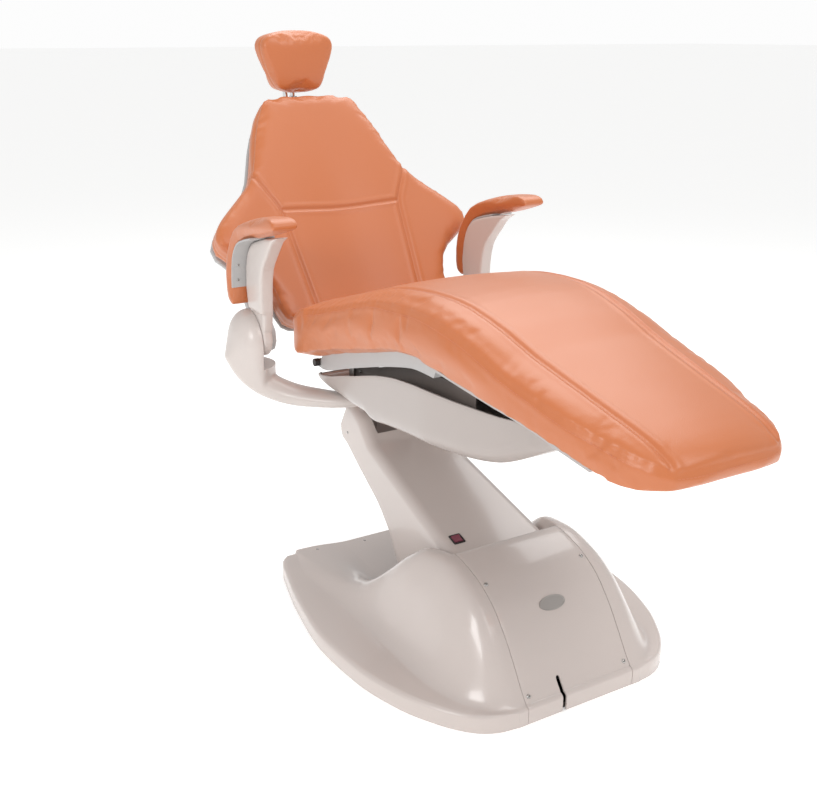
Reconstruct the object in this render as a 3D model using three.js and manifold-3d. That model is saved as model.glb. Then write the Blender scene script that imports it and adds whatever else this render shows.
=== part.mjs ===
// A motorised dental treatment chair: a moulded base with a lift arm that carries a tilting seat,
// a reclining back, a sliding and tilting headrest and two drop-down armrests.
// Millimetres, +Z up. The patient faces -Y and the patient's right is -X.
// The origin is on the floor, on the underside of the base plate.
import * as THREE from 'three';
import { mergeVertices } from 'three/addons/utils/BufferGeometryUtils.js';
import Module from 'manifold-3d';

const wasm = await Module();
wasm.setup();

// ---------- driving dimensions ----------
const GAP = 0.3; // between pieces that touch
const PIN_FIT = 0.4; // a bore's radius over its pin's
const RUNNING = 1.0; // side play between pieces that turn past each other

// Moulded base, seen from above: [y, half width], front edge to rear edge.
const BASE_EDGE = [[-425, 148], [-420, 182], [-406, 216], [-378, 248], [-344, 274], [-259, 318],
  [-143, 349], [-6, 360], [148, 343], [290, 313], [335, 300], [354, 284], [360, 262]];
// Crest of the hump and of the two lips behind it: [y, half width, height].
const CREST = [[-425, 135, 30], [-414, 135, 42], [-398, 135, 63], [-374, 135, 100], [-335, 135, 153],
  [-290, 135, 197], [-230, 135, 227], [-165, 135, 240], [-100, 142, 231], [-50, 153, 200],
  [-10, 168, 160], [30, 192, 118], [80, 206, 84], [150, 219, 62], [250, 234, 50], [360, 250, 44]];
// Foot of the hump, where it meets the flange: [y, half width].
const FOOT = [[-425, 144], [-410, 186], [-390, 210], [-337, 242], [-245, 264], [-50, 270],
  [100, 276], [250, 284], [360, 258]];
// Width of the slope inside each lip: [y, width].
const LIP_SLOPE = [[-425, 20], [-158, 20], [0, 34], [100, 64], [250, 110], [360, 140]];
const RIM_HEIGHT = 30;
const RIM_ROUND = 12;
const FLANGE_RISE = 9;
const TROUGH_FLOOR = 34;
const SHELL_WALL = 4;
const PLATE_THICK = 10;
const COVER_HALF = 128; // front cover, half width
const COVER_TOP_Y = -158;
const ARM_OPENING_REAR = 150;
const SLOT_X = -42;
const SLOT_WIDTH = 9;
const SLOT_HEIGHT = 60;
const COVER_SCREWS = [[COVER_HALF - 10, -258], [COVER_HALF - 11, -408]]; // x and y, on both sides
const SCREW_HEAD = 5;
const BADGE = { y: -318, length: 62, height: 30, thick: 1.2 };

// Lift: arm pivot in the base, arm length between pivots and its angle at the rest height.
const ARM_PIVOT = { y: -100, z: 105 };
const ARM_LENGTH = 483;
const ARM_ANGLE = 26;
const ARM_HALF = 48;
const ARM_TOP = 18;
const ARM_BOTTOM = -14;
const ARM_WALL = 5;
const ARM_PIN = 10;
const LINK_OFFSET = { y: 10, z: -39 }; // link pivots from the arm pivots
const LINK_PIN = 6;
const LINK_HALF_DEPTH = 7;
const LINK_X = [-30, -12];
const EAR_THICK = 10;

// Arm cover, in the arm's own frame: y along the arm, z square to it.
const NOSE_RADIUS = 120;
const BEAM_OVERRUN = 22; // the beam runs this far past the upper pivot
const BEAM_CLEAR = 5.6; // under the cover's top face, at the beam's upper end
const ARM_COVER_END = ARM_LENGTH + 78;
const ARM_COVER_BOTTOM_HALF = COVER_HALF - 6;
const ARM_COVER_TOP_HALF = 96;
const ARM_COVER_WALL = 4;
// Its lower edge: [share of the arm's length, height].
const ARM_COVER_UNDERSIDE = [[1.112, -49], [1.048, -45], [0.888, -47], [0.689, -46], [0.518, -60],
  [0.36, -94], [0.273, -96]];
// Cheeks that hide the upper pivot: [place from the pivot, rise over the straight top].
const CHEEK = [[-75, 0], [-30, 15], [10, 32], [64, 38], [78, 31]];
const NOSE_END = 168; // where the nose arc ends below the pivot, degrees
const SWITCH = { x: -80, along: 62, bezel: 32, hole: 26.5, well: 22.5, rocker: 20, depth: 12, tilt: 6 };

// Lift cylinder: base pivot, lug on the arm, and the open upper pivot.
const CYLINDER_PIVOT = { y: 30, z: 34 };
const CYLINDER_X = 20;
const CYLINDER_RADIUS = 15;
const CYLINDER_BORE = 10;
const CYLINDER_LENGTH = 105;
const ROD_RADIUS = 9.4;
const ROD_START = 56;
const ROD_EYE = { radius: 7, half: 5, bore: 3 }; // goes into the tube when the lift is down
const LIFT_LUG = { along: 230, drop: 26, radius: 9 };
const OPEN_PIVOT = 24; // the rod eye stops this far short of the lug's centre

// Carriage on the upper pivots. Its drawing frame is the base's own at the rest height.
const CARRIAGE_PIVOT = { y: 334, z: 316.7 };
const DECK = { z: 468, thick: 8, half: 112, front: -60, rear: 318 };
const TUB_TOP = [[362, 487], [196, 527], [38, 571], [-30, 583], [-125, 590], [-220, 588],
  [-310, 578], [-362, 566]];
const TUB_UNDER = [[-362, 545], [-335, 512], [-270, 482], [-180, 475], [-60, 468], [60, 455], [104, 448],
  [135, 456], [200, 456], [270, 461], [330, 472], [360, 484]];
const TUB_PLAN = [[-362, 0], [-356, 40], [-335, 88], [-285, 132], [-200, 165], [-100, 180], [50, 182],
  [200, 182], [300, 181], [352, 178], [362, 168]];
const TUB_WALL = 4;
const SEAT_PIVOT = { y: 335, z: 522 };
const SEAT_PIN = 8;

// Hubs: the axis of the back and the armrests.
const HUB = { y: 430, z: 575 };
const BRACKET_X = [266, 276];
const HUB_DISC = 46;
const DISC_THICK = 24;
const HUB_PIN = 12;
const HOUSING = { y: 460, z: 557, radius: 77, bulge: 50 };
const YOKE_PATH = [[95, 262, 441], [150, 286, 438], [195, 330, 437], [240, 382, 440], [284, 426, 460],
  [312, 456, 494], [326, 466, 536]];
const YOKE_HALF = [[26, 14], [30, 17], [33, 21], [35, 25], [37, 29], [37, 35], [36, 42]];

// Seat cushion side view: the top edge seam, the underside and the plan half widths.
const SEAT_TOP = [[396, 634], [334, 659], [229, 690], [114, 727], [11, 754], [-66, 765], [-140, 769],
  [-220, 765], [-322, 742], [-396, 718], [-539, 684], [-612, 668], [-690, 650], [-730, 634], [-748, 612]];
const SEAT_UNDER = [[-746, 598], [-731, 588], [-665, 579], [-610, 586], [-512, 613], [-422, 629],
  [-300, 637], [-174, 645], [-100, 652], [-58, 650], [48, 624], [236, 571], [344, 536], [384, 532],
  [398, 546]];
const SEAT_PLAN = [[-750, 0], [-746, 70], [-732, 118], [-700, 146], [-650, 166], [-600, 180], [-500, 203],
  [-350, 214], [-100, 215], [50, 224], [200, 234], [350, 241], [388, 236], [400, 220]];
const PAN_HALF = 186;
const PAN_UNDER = [[344, 510], [294, 512], [176, 550], [37, 592], [-63, 618], [-109, 625], [-165, 626]];
const PAN_WALL = 5;
const TOE_BOARD_END = -600;
const BOARD_INSET = 28; // of the toe board, from the cushion's edge

// Back, in its own frame: z along the back from the hub axis, y square to it and rearwards.
const BACK_TILT = 35.5;
const BACK_OUTLINE = [[0, 6], [150, 6], [205, 12], [228, 34], [242, 92], [264, 146], [318, 190], [348, 230],
  [334, 272], [300, 310], [253, 357], [218, 400], [194, 462], [170, 525], [141, 578], [110, 605], [0, 614]];
const BACK_FRONT = -28;
const BACK_CUSHION = 74;
const BACK_SHELL = 13;
const FRAME_PLATE = 8;
const LEVER_X = [12, 20];
const RECLINE_LEVER = { radius: 70, angle: -60 }; // from the hub axis, in the upright world frame
const RECLINE_PIVOT = { y: 150, z: 505 };
const RECLINE_LENGTH = 185;
const RECLINE_ROD_START = 85;
const TILT_CYLINDER = { x: -60, y: 180, bottom: 482, top: 524, rodStart: 510, rodTop: 556 };

// Headrest: bar in the back's frame, then link and plate.
const BAR = { clear: 13.4, half: 14, thick: 6, from: 400, to: 660 }; // clear of the back shell
const GUIDE = { from: 380, to: 560, wall: 5 };
const HEAD_PIVOT = { y: 905, z: 1165 }; // upper pivot, upright world frame
const HEAD_FACE = -105;
const HEAD_THICK = 64;
const HEAD_OUTLINE = [[0, -76], [50, -75], [68, -62], [84, -27], [101, 15], [105, 40], [94, 60], [60, 70],
  [0, 73]];
const HEAD_EYE = 9;
const HEAD_PIN = 4;

// Armrests, from the hub axis: the pad's outer and inner lines and the post.
const ARM_PAD_X = [280, 344];
const ARM_POST_X = [277, 309];
const PAD_OUTER = [[-228, 288], [-216, 300], [-188, 304], [-145, 296], [-66, 280], [8, 250], [52, 198],
  [69, 155], [72, 112], [66, 78], [40, 66]];
const PAD_INNER = [[30, 74], [33, 119], [24, 175], [3, 209], [-31, 230], [-108, 250], [-172, 264],
  [-223, 278]];
const PAD_PLATE = 4;
const POST_FRONT = [[-164, 254], [-132, 237], [-104, 206], [-72, 168], [-60, 118], [-58, 68]];

// ---------- materials ----------
function finish(color, roughness, metalness) {
  return new THREE.MeshStandardMaterial({ color, roughness, metalness });
}

const shellGloss = finish(0xcfc5c0, 0.25, 0);
const tubGloss = finish(0xb9b0ab, 0.3, 0);
const greyPlastic = finish(0xb0afae, 0.4, 0);
const vinyl = finish(0xdd9270, 0.45, 0);
const steel = finish(0x8d8f92, 0.4, 1);
const chrome = finish(0xd5d7d9, 0.12, 1);
const blackPlastic = finish(0x202022, 0.5, 0);
const darkMetal = finish(0x4a4b4d, 0.5, 0.6);
const maroon = finish(0x7a3748, 0.3, 0);

// ---------- shaping helpers ----------
// A closed geometry as a solid that can be joined and cut.
function solid(geometry) {
  const bare = geometry.index ? geometry.toNonIndexed() : geometry;
  const positions = new THREE.BufferGeometry().setAttribute('position', bare.getAttribute('position'));
  const merged = mergeVertices(positions, 1e-4);
  const body = new wasm.Manifold(new wasm.Mesh({
    numProp: 3,
    vertProperties: merged.attributes.position.array,
    triVerts: new Uint32Array(merged.index.array),
  }));
  return body;
}

function joined(first, ...others) {
  return others.reduce((sum, other) => sum.add(other), first);
}

function cut(body, ...tools) {
  return tools.reduce((rest, tool) => rest.subtract(tool), body);
}

const X = new THREE.Vector3(1, 0, 0);
const Y = new THREE.Vector3(0, 1, 0);
const Z = new THREE.Vector3(0, 0, 1);
const SIDE_VIEW = new THREE.Matrix4().makeBasis(Y, Z, X);
const FRONT_VIEW = new THREE.Matrix4().makeBasis(X, Z, Y.clone().negate());

function drawnOut(points, depth) {
  const shape = new THREE.Shape(points.map(([a, b]) => new THREE.Vector2(a, b)));
  return new THREE.ExtrudeGeometry(shape, { depth, bevelEnabled: false, steps: 1 });
}

// An outline of [y, z] points drawn along X, of [x, z] along Y, and of [x, y] along Z.
function alongX(points, from, to) {
  return solid(drawnOut(points, to - from).applyMatrix4(SIDE_VIEW).translate(from, 0, 0));
}

function alongY(points, from, to) {
  return solid(drawnOut(points, to - from).applyMatrix4(FRONT_VIEW).translate(0, to, 0));
}

function alongZ(points, from, to) {
  return solid(drawnOut(points, to - from).translate(0, 0, from));
}

function box([x0, x1], [y0, y1], [z0, z1]) {
  const block = new THREE.BoxGeometry(x1 - x0, y1 - y0, z1 - z0);
  return solid(block.translate((x0 + x1) / 2, (y0 + y1) / 2, (z0 + z1) / 2));
}

// A round bar between two points.
function bar(from, to, radius, sides = 14) {
  const start = new THREE.Vector3(...from);
  const run = new THREE.Vector3(...to).sub(start);
  const geometry = new THREE.CylinderGeometry(radius, radius, run.length(), sides);
  geometry.translate(0, run.length() / 2, 0);
  geometry.applyQuaternion(new THREE.Quaternion().setFromUnitVectors(Y, run.normalize()));
  return solid(geometry.translate(...from));
}

// A round bar across the chair at one place in the side view.
const crossBar = (at, half, radius, sides) => bar([-half, at.y, at.z], [half, at.y, at.z], radius, sides);

// A smooth open line through the points.
function smooth(points, steps) {
  return new THREE.SplineCurve(points.map(([a, b]) => new THREE.Vector2(a, b))).getPoints(steps)
    .map((point) => [point.x, point.y]);
}

// A smooth closed outline from its right half.
function mirrored(half, steps) {
  const right = smooth(half, steps);
  const left = right.slice(1, -1).reverse().map(([x, z]) => [-x, z]);
  return [...right, ...left];
}

// Each point moved square to the line by a distance, to its left as it runs.
function shifted(points, distance) {
  return points.map(([a, b], i) => {
    const before = points[Math.max(i - 1, 0)];
    const after = points[Math.min(i + 1, points.length - 1)];
    const run = Math.hypot(after[0] - before[0], after[1] - before[1]);
    return [a - distance * (after[1] - before[1]) / run, b + distance * (after[0] - before[0]) / run];
  });
}

// The outline of a bar with two round ends in the side view.
function barOutline(a, radiusA, b, radiusB, steps = 6) {
  const direction = Math.atan2(b.z - a.z, b.y - a.y);
  const reach = Math.acos((radiusA - radiusB) / Math.hypot(b.y - a.y, b.z - a.z));
  const arc = (centre, radius, from, to) => Array.from({ length: steps + 1 }, (_, i) => {
    const angle = from + (to - from) * i / steps;
    return [centre.y + radius * Math.cos(angle), centre.z + radius * Math.sin(angle)];
  });
  return [
    ...arc(a, radiusA, direction + reach, direction + 2 * Math.PI - reach),
    ...arc(b, radiusB, direction - reach, direction + reach),
  ];
}

// A closed skin over rings of points, with a flat end on the first and the last.
function lofted(rings) {
  const sides = rings[0].length;
  const corners = [];
  const face = (...points) => points.forEach((point) => corners.push(...point));
  for (let i = 0; i + 1 < rings.length; i += 1) {
    for (let j = 0; j < sides; j += 1) {
      const k = (j + 1) % sides;
      face(rings[i][j], rings[i][k], rings[i + 1][k]);
      face(rings[i][j], rings[i + 1][k], rings[i + 1][j]);
    }
  }
  const centre = (ring) => [0, 1, 2].map((axis) => ring.reduce((sum, point) => sum + point[axis], 0) / sides);
  const last = rings[rings.length - 1];
  for (let j = 0; j < sides; j += 1) {
    const k = (j + 1) % sides;
    face(centre(rings[0]), rings[0][k], rings[0][j]);
    face(centre(last), last[j], last[k]);
  }
  const geometry = new THREE.BufferGeometry();
  geometry.setAttribute('position', new THREE.Float32BufferAttribute(corners, 3));
  return solid(geometry);
}

// A value between the rows of a table [key, value, ...], with a smooth curve through them.
function tableValue(table, key, column = 1) {
  const last = table.length - 1;
  const at = Math.min(Math.max(key, table[0][0]), table[last][0]);
  let i = 0;
  while (i < last - 1 && at > table[i + 1][0]) i += 1;
  const slope = (row) => {
    if (row === 0 || row === last) return 0;
    const before = (table[row][column] - table[row - 1][column]) / (table[row][0] - table[row - 1][0]);
    const after = (table[row + 1][column] - table[row][column]) / (table[row + 1][0] - table[row][0]);
    return before * after <= 0 ? 0 : 2 * before * after / (before + after);
  };
  const span = table[i + 1][0] - table[i][0];
  const t = (at - table[i][0]) / span;
  const [a, b] = [table[i][column], table[i + 1][column]];
  const [slopeA, slopeB] = [slope(i) * span, slope(i + 1) * span];
  return a + t * (slopeA + t * (3 * (b - a) - 2 * slopeA - slopeB + t * (2 * (a - b) + slopeA + slopeB)));
}

// The plan outline of a table of half widths, inset by a wall.
function planOutline(table, steps, wall = 0) {
  const start = table[0][0] + wall;
  const end = table[table.length - 1][0] - wall;
  const rows = Array.from({ length: steps + 1 }, (_, i) => {
    const y = start + (end - start) * (1 - Math.cos(Math.PI * i / steps)) / 2;
    return [Math.max(tableValue(table, y) - wall, 0.5), y];
  });
  return [...rows, ...rows.slice().reverse().map(([x, y]) => [-x, y])];
}

const root = new THREE.Group();
const group = (y, z, parent = root) => {
  const made = new THREE.Group();
  made.position.set(0, y, z);
  parent.add(made);
  return made;
};

function piece(name, body, material, parent) {
  const { vertProperties, triVerts } = body.getMesh();
  const geometry = new THREE.BufferGeometry();
  geometry.setAttribute('position', new THREE.BufferAttribute(vertProperties, 3));
  geometry.setIndex(new THREE.BufferAttribute(triVerts, 1));
  geometry.computeVertexNormals();
  const mesh = new THREE.Mesh(geometry, material);
  mesh.name = name;
  parent.add(mesh);
}

const radians = THREE.MathUtils.degToRad;
const SIDES = [['right', -1], ['left', 1]];
const mirrorX = (range, side) => (side > 0 ? range : [-range[1], -range[0]]);

// ---------- base ----------
const fall = (t) => 0.5 + 0.5 * Math.cos(Math.PI * Math.min(Math.max(t, 0), 1) ** 1.3);
const frontEdge = BASE_EDGE[0][0];
const rearEdge = BASE_EDGE[BASE_EDGE.length - 1][0];

// The height of the moulded base over one place on the floor.
function baseHeight(x, y) {
  const across = Math.abs(x);
  const inside = Math.min(tableValue(BASE_EDGE, y) - across, y - frontEdge, rearEdge - y);
  const rounding = Math.min(Math.max(inside / RIM_ROUND, 0), 1);
  const flange = RIM_HEIGHT + FLANGE_RISE * Math.sqrt(1 - (1 - rounding) ** 2);
  const crestHalf = tableValue(CREST, y);
  const crest = Math.max(tableValue(CREST, y, 2), flange);
  if (across >= crestHalf) {
    const share = (across - crestHalf) / (tableValue(FOOT, y) - crestHalf);
    return flange + (crest - flange) * fall(share);
  }
  if (y < COVER_TOP_Y) return rounding < 1 ? flange : crest;
  return TROUGH_FLOOR + (crest - TROUGH_FLOOR) * fall((crestHalf - across) / tableValue(LIP_SLOPE, y));
}

// The lowest height of the moulding within a wall's distance, which its inner face lies under.
function innerHeight(x, y) {
  const around = [[0, 0], [1, 0], [-1, 0], [0, 1], [0, -1], [0.7, 0.7], [-0.7, 0.7], [0.7, -0.7],
    [-0.7, -0.7]];
  const heights = around.map(([dx, dy]) => baseHeight(x + dx * SHELL_WALL, y + dy * SHELL_WALL));
  return Math.min(...heights) - SHELL_WALL;
}

// The whole base as a body: rows from front to rear, columns that follow the lips and the foot.
function baseBody(height, inset, bottom) {
  const rows = CREST.map(([y]) => y).filter((y) => y > frontEdge && y < rearEdge);
  rows.push(frontEdge + inset, frontEdge + RIM_ROUND / 2, COVER_TOP_Y - 0.5, COVER_TOP_Y + 0.5);
  rows.push(BASE_EDGE[10][0], BASE_EDGE[11][0], rearEdge - inset);
  rows.sort((a, b) => a - b);
  const columns = (y) => {
    const edge = tableValue(BASE_EDGE, y) - inset;
    const crest = Math.min(tableValue(CREST, y), edge - 6);
    const foot = Math.min(Math.max(tableValue(FOOT, y), crest + 3), edge - 2);
    const slope = tableValue(LIP_SLOPE, y);
    const out = (t) => crest + (foot - crest) * t;
    const half = [0, crest - slope, crest - slope / 2, crest, out(0.25), out(0.5), out(0.75), foot,
      edge - (edge - foot) * 0.15, edge];
    return [...half.slice(1).reverse().map((x) => -x), ...half];
  };
  const grid = rows.map((y) => columns(y).map((x) => [x, y, height(x, y)]));
  const rings = grid.map((row) => [
    ...row,
    ...row.slice().reverse().map(([x, y]) => [x, y, bottom]),
  ]);
  return lofted(rings);
}

const base = group(0, 0);
const shell = cut(baseBody(baseHeight, 0, 1), baseBody(innerHeight, SHELL_WALL, -5));
const coverRegion = (grow) => box(
  [-COVER_HALF - grow, COVER_HALF + grow],
  [frontEdge - 5, COVER_TOP_Y + grow],
  [-10, 400],
);
const armOpening = box([-COVER_HALF, COVER_HALF], [COVER_TOP_Y - 5, ARM_OPENING_REAR], [-10, 400]);
const slotRun = [frontEdge - 5, frontEdge + 80];
const cableSlot = joined(
  box([SLOT_X - SLOT_WIDTH / 2, SLOT_X + SLOT_WIDTH / 2], slotRun, [-10, SLOT_HEIGHT]),
  bar([SLOT_X, slotRun[0], SLOT_HEIGHT], [SLOT_X, slotRun[1], SLOT_HEIGHT], SLOT_WIDTH / 2),
);

// A place on the moulding, with the direction that points straight out of it.
function onMoulding(x, y) {
  const step = 2;
  const dx = (baseHeight(x + step, y) - baseHeight(x - step, y)) / (2 * step);
  const dy = (baseHeight(x, y + step) - baseHeight(x, y - step)) / (2 * step);
  return { at: new THREE.Vector3(x, y, baseHeight(x, y)), out: new THREE.Vector3(-dx, -dy, 1).normalize() };
}

function coverScrew(x, y, grow) {
  const head = SCREW_HEAD + grow;
  const shank = 2 + grow;
  const profile = [[0, -9 - grow], [shank, -9 - grow], [shank, -1 - grow], [head, -1 - grow], [head, 1],
    [0.7 * head, 2.4], [0, 3]];
  const geometry = new THREE.LatheGeometry(profile.map(([a, b]) => new THREE.Vector2(a, b)), 12);
  const { at, out } = onMoulding(x, y);
  geometry.applyQuaternion(new THREE.Quaternion().setFromUnitVectors(Y, out));
  return solid(geometry.translate(at.x, at.y, at.z));
}

function badge(grow) {
  const { at, out } = onMoulding(0, BADGE.y);
  const geometry = new THREE.CylinderGeometry(1, 1, BADGE.thick * 2 + grow * 2, 28);
  geometry.scale(BADGE.length / 2 + grow, 1, BADGE.height / 2 + grow);
  geometry.applyQuaternion(new THREE.Quaternion().setFromUnitVectors(Y, out));
  return solid(geometry.translate(at.x, at.y, at.z));
}

const screws = SIDES.flatMap(([side, sign]) => COVER_SCREWS.map(
  ([x, y], i) => [`cover_screw_${side}_${i + 1}`, sign * x, y],
));
const screwHoles = screws.map(([, x, y]) => coverScrew(x, y, GAP));
const noseRoom = crossBar(ARM_PIVOT, COVER_HALF - SHELL_WALL, NOSE_RADIUS + 6, 32);
const frontCover = cut(shell.intersect(coverRegion(0)), cableSlot, noseRoom, badge(GAP), ...screwHoles);
piece('front_cover', frontCover, shellGloss, base);
piece('base_shell', cut(shell, coverRegion(GAP), armOpening), shellGloss, base);
screws.forEach(([name, x, y]) => piece(name, coverScrew(x, y, 0), chrome, base));
piece('cover_badge', badge(0), chrome, base);

const plateEdge = planOutline(BASE_EDGE, 20, SHELL_WALL + 6);
piece('base_plate', alongZ(plateEdge, 0, PLATE_THICK), darkMetal, base);

const linkPivot = { y: ARM_PIVOT.y + LINK_OFFSET.y, z: ARM_PIVOT.z + LINK_OFFSET.z };
const floor = PLATE_THICK + GAP;
const earInner = ARM_HALF + RUNNING;
const earOuter = earInner + EAR_THICK;
const pinHalf = earOuter + 3;
const pinHole = (at, radius) => crossBar(at, pinHalf + 20, radius + PIN_FIT);
const standFoot = [ARM_PIVOT.y - 52, ARM_PIVOT.y + 62];
const standTop = [[24, 4], [14, 20], [-14, 20], [-24, 4]].map(([y, z]) => [ARM_PIVOT.y + y, ARM_PIVOT.z + z]);
const standProfile = [[standFoot[0], floor], [standFoot[1], floor], ...standTop];
SIDES.forEach(([side, sign]) => {
  const plate = alongX(standProfile, ...mirrorX([earInner, earOuter], sign));
  const foot = box(mirrorX([earInner, earOuter + 24], sign), standFoot, [floor, floor + 8]);
  const holes = [pinHole(ARM_PIVOT, ARM_PIN), pinHole(linkPivot, LINK_PIN)];
  piece(`pivot_stand_${side}`, cut(joined(plate, foot), ...holes), darkMetal, base);
});
piece('lift_pivot_pin', crossBar(ARM_PIVOT, pinHalf, ARM_PIN), steel, base);
piece('link_pin_lower', crossBar(linkPivot, pinHalf, LINK_PIN), steel, base);

const onCylinderPivot = (x) => [x, CYLINDER_PIVOT.y, CYLINDER_PIVOT.z];
const cylinderEar = { radius: 13, thick: 8, plate: 3 };
const earRun = [CYLINDER_PIVOT.y - cylinderEar.radius, CYLINDER_PIVOT.y + cylinderEar.radius];
const cylinderEars = [-1, 1].map((sign) => {
  const near = CYLINDER_X + sign * (CYLINDER_RADIUS + RUNNING);
  const edges = [near, near + sign * cylinderEar.thick].sort((a, b) => a - b);
  const round = bar(onCylinderPivot(edges[0]), onCylinderPivot(edges[1]), cylinderEar.radius);
  return joined(round, box(edges, earRun, [floor, CYLINDER_PIVOT.z]));
});
const cylinderPin = (radius) => {
  const reach = CYLINDER_RADIUS + RUNNING + cylinderEar.thick + 4;
  return bar(onCylinderPivot(CYLINDER_X - reach), onCylinderPivot(CYLINDER_X + reach), radius);
};
const earSpan = CYLINDER_RADIUS + RUNNING + cylinderEar.thick;
const earX = [CYLINDER_X - earSpan, CYLINDER_X + earSpan];
const earPlate = box(earX, earRun, [floor, floor + cylinderEar.plate]);
const cylinderBolt = 5;
const cylinderHole = cylinderPin(cylinderBolt + PIN_FIT);
piece('cylinder_mount', cut(joined(earPlate, ...cylinderEars), cylinderHole), darkMetal, base);
piece('cylinder_pin', cylinderPin(cylinderBolt), steel, base);

// Hydraulics and electronics under the front cover.
const MOTOR = { y: frontEdge + 88, radius: 30, from: 0, to: 104 };
const TANK = { x: [-112, -14], y: [frontEdge + 72, frontEdge + 162], height: 62 };
const CONTROL = { x: [0, 108], y: [frontEdge + 128, frontEdge + 162], height: 108 };
const motorAt = floor + MOTOR.radius;
piece('pump_motor', joined(
  bar([MOTOR.from, MOTOR.y, motorAt], [MOTOR.to, MOTOR.y, motorAt], MOTOR.radius, 28),
  box([MOTOR.from + 20, MOTOR.to - 20], [MOTOR.y - 20, MOTOR.y + 20], [floor, motorAt]),
), steel, base);
piece('oil_tank', box(TANK.x, TANK.y, [floor, floor + TANK.height]), darkMetal, base);
piece('control_box', box(CONTROL.x, CONTROL.y, [floor, floor + CONTROL.height]), greyPlastic, base);

// ---------- lift arm ----------
const arm = group(ARM_PIVOT.y, ARM_PIVOT.z);
arm.rotation.x = radians(ARM_ANGLE);
const HERE = { y: 0, z: 0 };
const armEnd = { y: ARM_LENGTH, z: 0 };
const beamOuter = box([-ARM_HALF, ARM_HALF], [-20, ARM_LENGTH + BEAM_OVERRUN], [ARM_BOTTOM, ARM_TOP]);
const beamInner = box(
  [-ARM_HALF + ARM_WALL, ARM_HALF - ARM_WALL],
  [-30, ARM_LENGTH + BEAM_OVERRUN + 8],
  [ARM_BOTTOM + ARM_WALL, ARM_TOP - ARM_WALL],
);
const lugX = [CYLINDER_X - 7, CYLINDER_X + 7];
const lugRun = [LIFT_LUG.along - LIFT_LUG.radius, LIFT_LUG.along + LIFT_LUG.radius];
const lug = joined(
  bar([lugX[0], LIFT_LUG.along, -LIFT_LUG.drop], [lugX[1], LIFT_LUG.along, -LIFT_LUG.drop], LIFT_LUG.radius),
  box(lugX, lugRun, [-LIFT_LUG.drop, ARM_BOTTOM + 2]),
);
const beamHoles = [HERE, armEnd].map((at) => pinHole(at, ARM_PIN));
piece('lift_arm', cut(joined(cut(beamOuter, beamInner), lug), ...beamHoles), darkMetal, arm);

// The cover's side view: a round nose about the pivot, a straight top and the underside.
const beamEnd = { y: ARM_LENGTH + BEAM_OVERRUN, z: ARM_TOP + ARM_COVER_WALL + BEAM_CLEAR };
const beamRise = Math.atan2(beamEnd.z, beamEnd.y);
const coverSlope = Math.asin(NOSE_RADIUS / Math.hypot(beamEnd.y, beamEnd.z)) - beamRise;
const tangent = 90 - THREE.MathUtils.radToDeg(coverSlope);
const topAt = (y) => (NOSE_RADIUS - y * Math.sin(coverSlope)) / Math.cos(coverSlope);
function armCoverOutline(inset) {
  const radius = NOSE_RADIUS - inset;
  const nose = Array.from({ length: 11 }, (_, i) => {
    const angle = radians(tangent + (NOSE_END - tangent) * i / 10);
    return [radius * Math.cos(angle), radius * Math.sin(angle)];
  });
  const drop = inset / Math.cos(coverSlope);
  const skirt = inset > 0 ? [[-radius, -200], [ARM_COVER_END + 60, -200]] : [[-radius + 30, -20], [-40, -70]];
  const under = inset > 0 ? [] : ARM_COVER_UNDERSIDE.map(([share, z]) => [share * ARM_LENGTH, z]).reverse();
  const rear = inset > 0 ? [] : [[ARM_COVER_END - 6, -38]];
  const cheek = CHEEK.map(([from, rise]) => [ARM_LENGTH + from, topAt(ARM_LENGTH + from) + rise - drop]);
  if (inset > 0) cheek.push([ARM_COVER_END + 60, cheek[cheek.length - 1][1]]);
  return [...nose, ...skirt, ...under, ...rear, ...cheek.reverse()];
}
function armCoverPlan(inset) {
  const bottom = ARM_COVER_BOTTOM_HALF - inset;
  const top = ARM_COVER_TOP_HALF - inset;
  const front = -NOSE_RADIUS - 10;
  const reach = inset > 0 ? ARM_COVER_END + 60 : ARM_COVER_END + 5;
  return [[-bottom, front], [bottom, front], [bottom, 40], [top, reach], [-top, reach], [-bottom, 40]];
}
function armCoverBody(inset) {
  return alongX(armCoverOutline(inset), -200, 200).intersect(alongZ(armCoverPlan(inset), -250, 250));
}
const topOpening = box([-70, 70], [ARM_LENGTH - 42, ARM_COVER_END + 20], [0, 200]);
const switchPlace = new THREE.Matrix4().makeRotationX(-coverSlope);
switchPlace.setPosition(SWITCH.x, SWITCH.along, topAt(SWITCH.along));
const onSwitch = (block) => solid(block.applyMatrix4(switchPlace));
const switchHole = onSwitch(new THREE.BoxGeometry(SWITCH.hole + 2 * GAP, SWITCH.hole + 2 * GAP, 40));
const armCover = cut(armCoverBody(0), armCoverBody(ARM_COVER_WALL), topOpening, switchHole);
piece('arm_cover', armCover, shellGloss, arm);
piece('upper_pivot_pin', crossBar(armEnd, pinHalf, ARM_PIN), steel, arm);

const bezelFlange = new THREE.BoxGeometry(SWITCH.bezel, SWITCH.bezel, 2).translate(0, 0, 1 + GAP);
const bezelSleeve = new THREE.BoxGeometry(SWITCH.hole, SWITCH.hole, SWITCH.depth);
bezelSleeve.translate(0, 0, 1 + GAP - SWITCH.depth / 2);
const bezelWell = new THREE.BoxGeometry(SWITCH.well, SWITCH.well, 60);
const bezel = cut(joined(onSwitch(bezelFlange), onSwitch(bezelSleeve)), onSwitch(bezelWell));
piece('switch_bezel', bezel, blackPlastic, arm);
const rocker = new THREE.BoxGeometry(SWITCH.rocker, SWITCH.rocker - 2, 7);
rocker.rotateX(radians(SWITCH.tilt)).translate(0, 0, 0.5);
piece('power_switch', onSwitch(rocker), maroon, arm);

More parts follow.
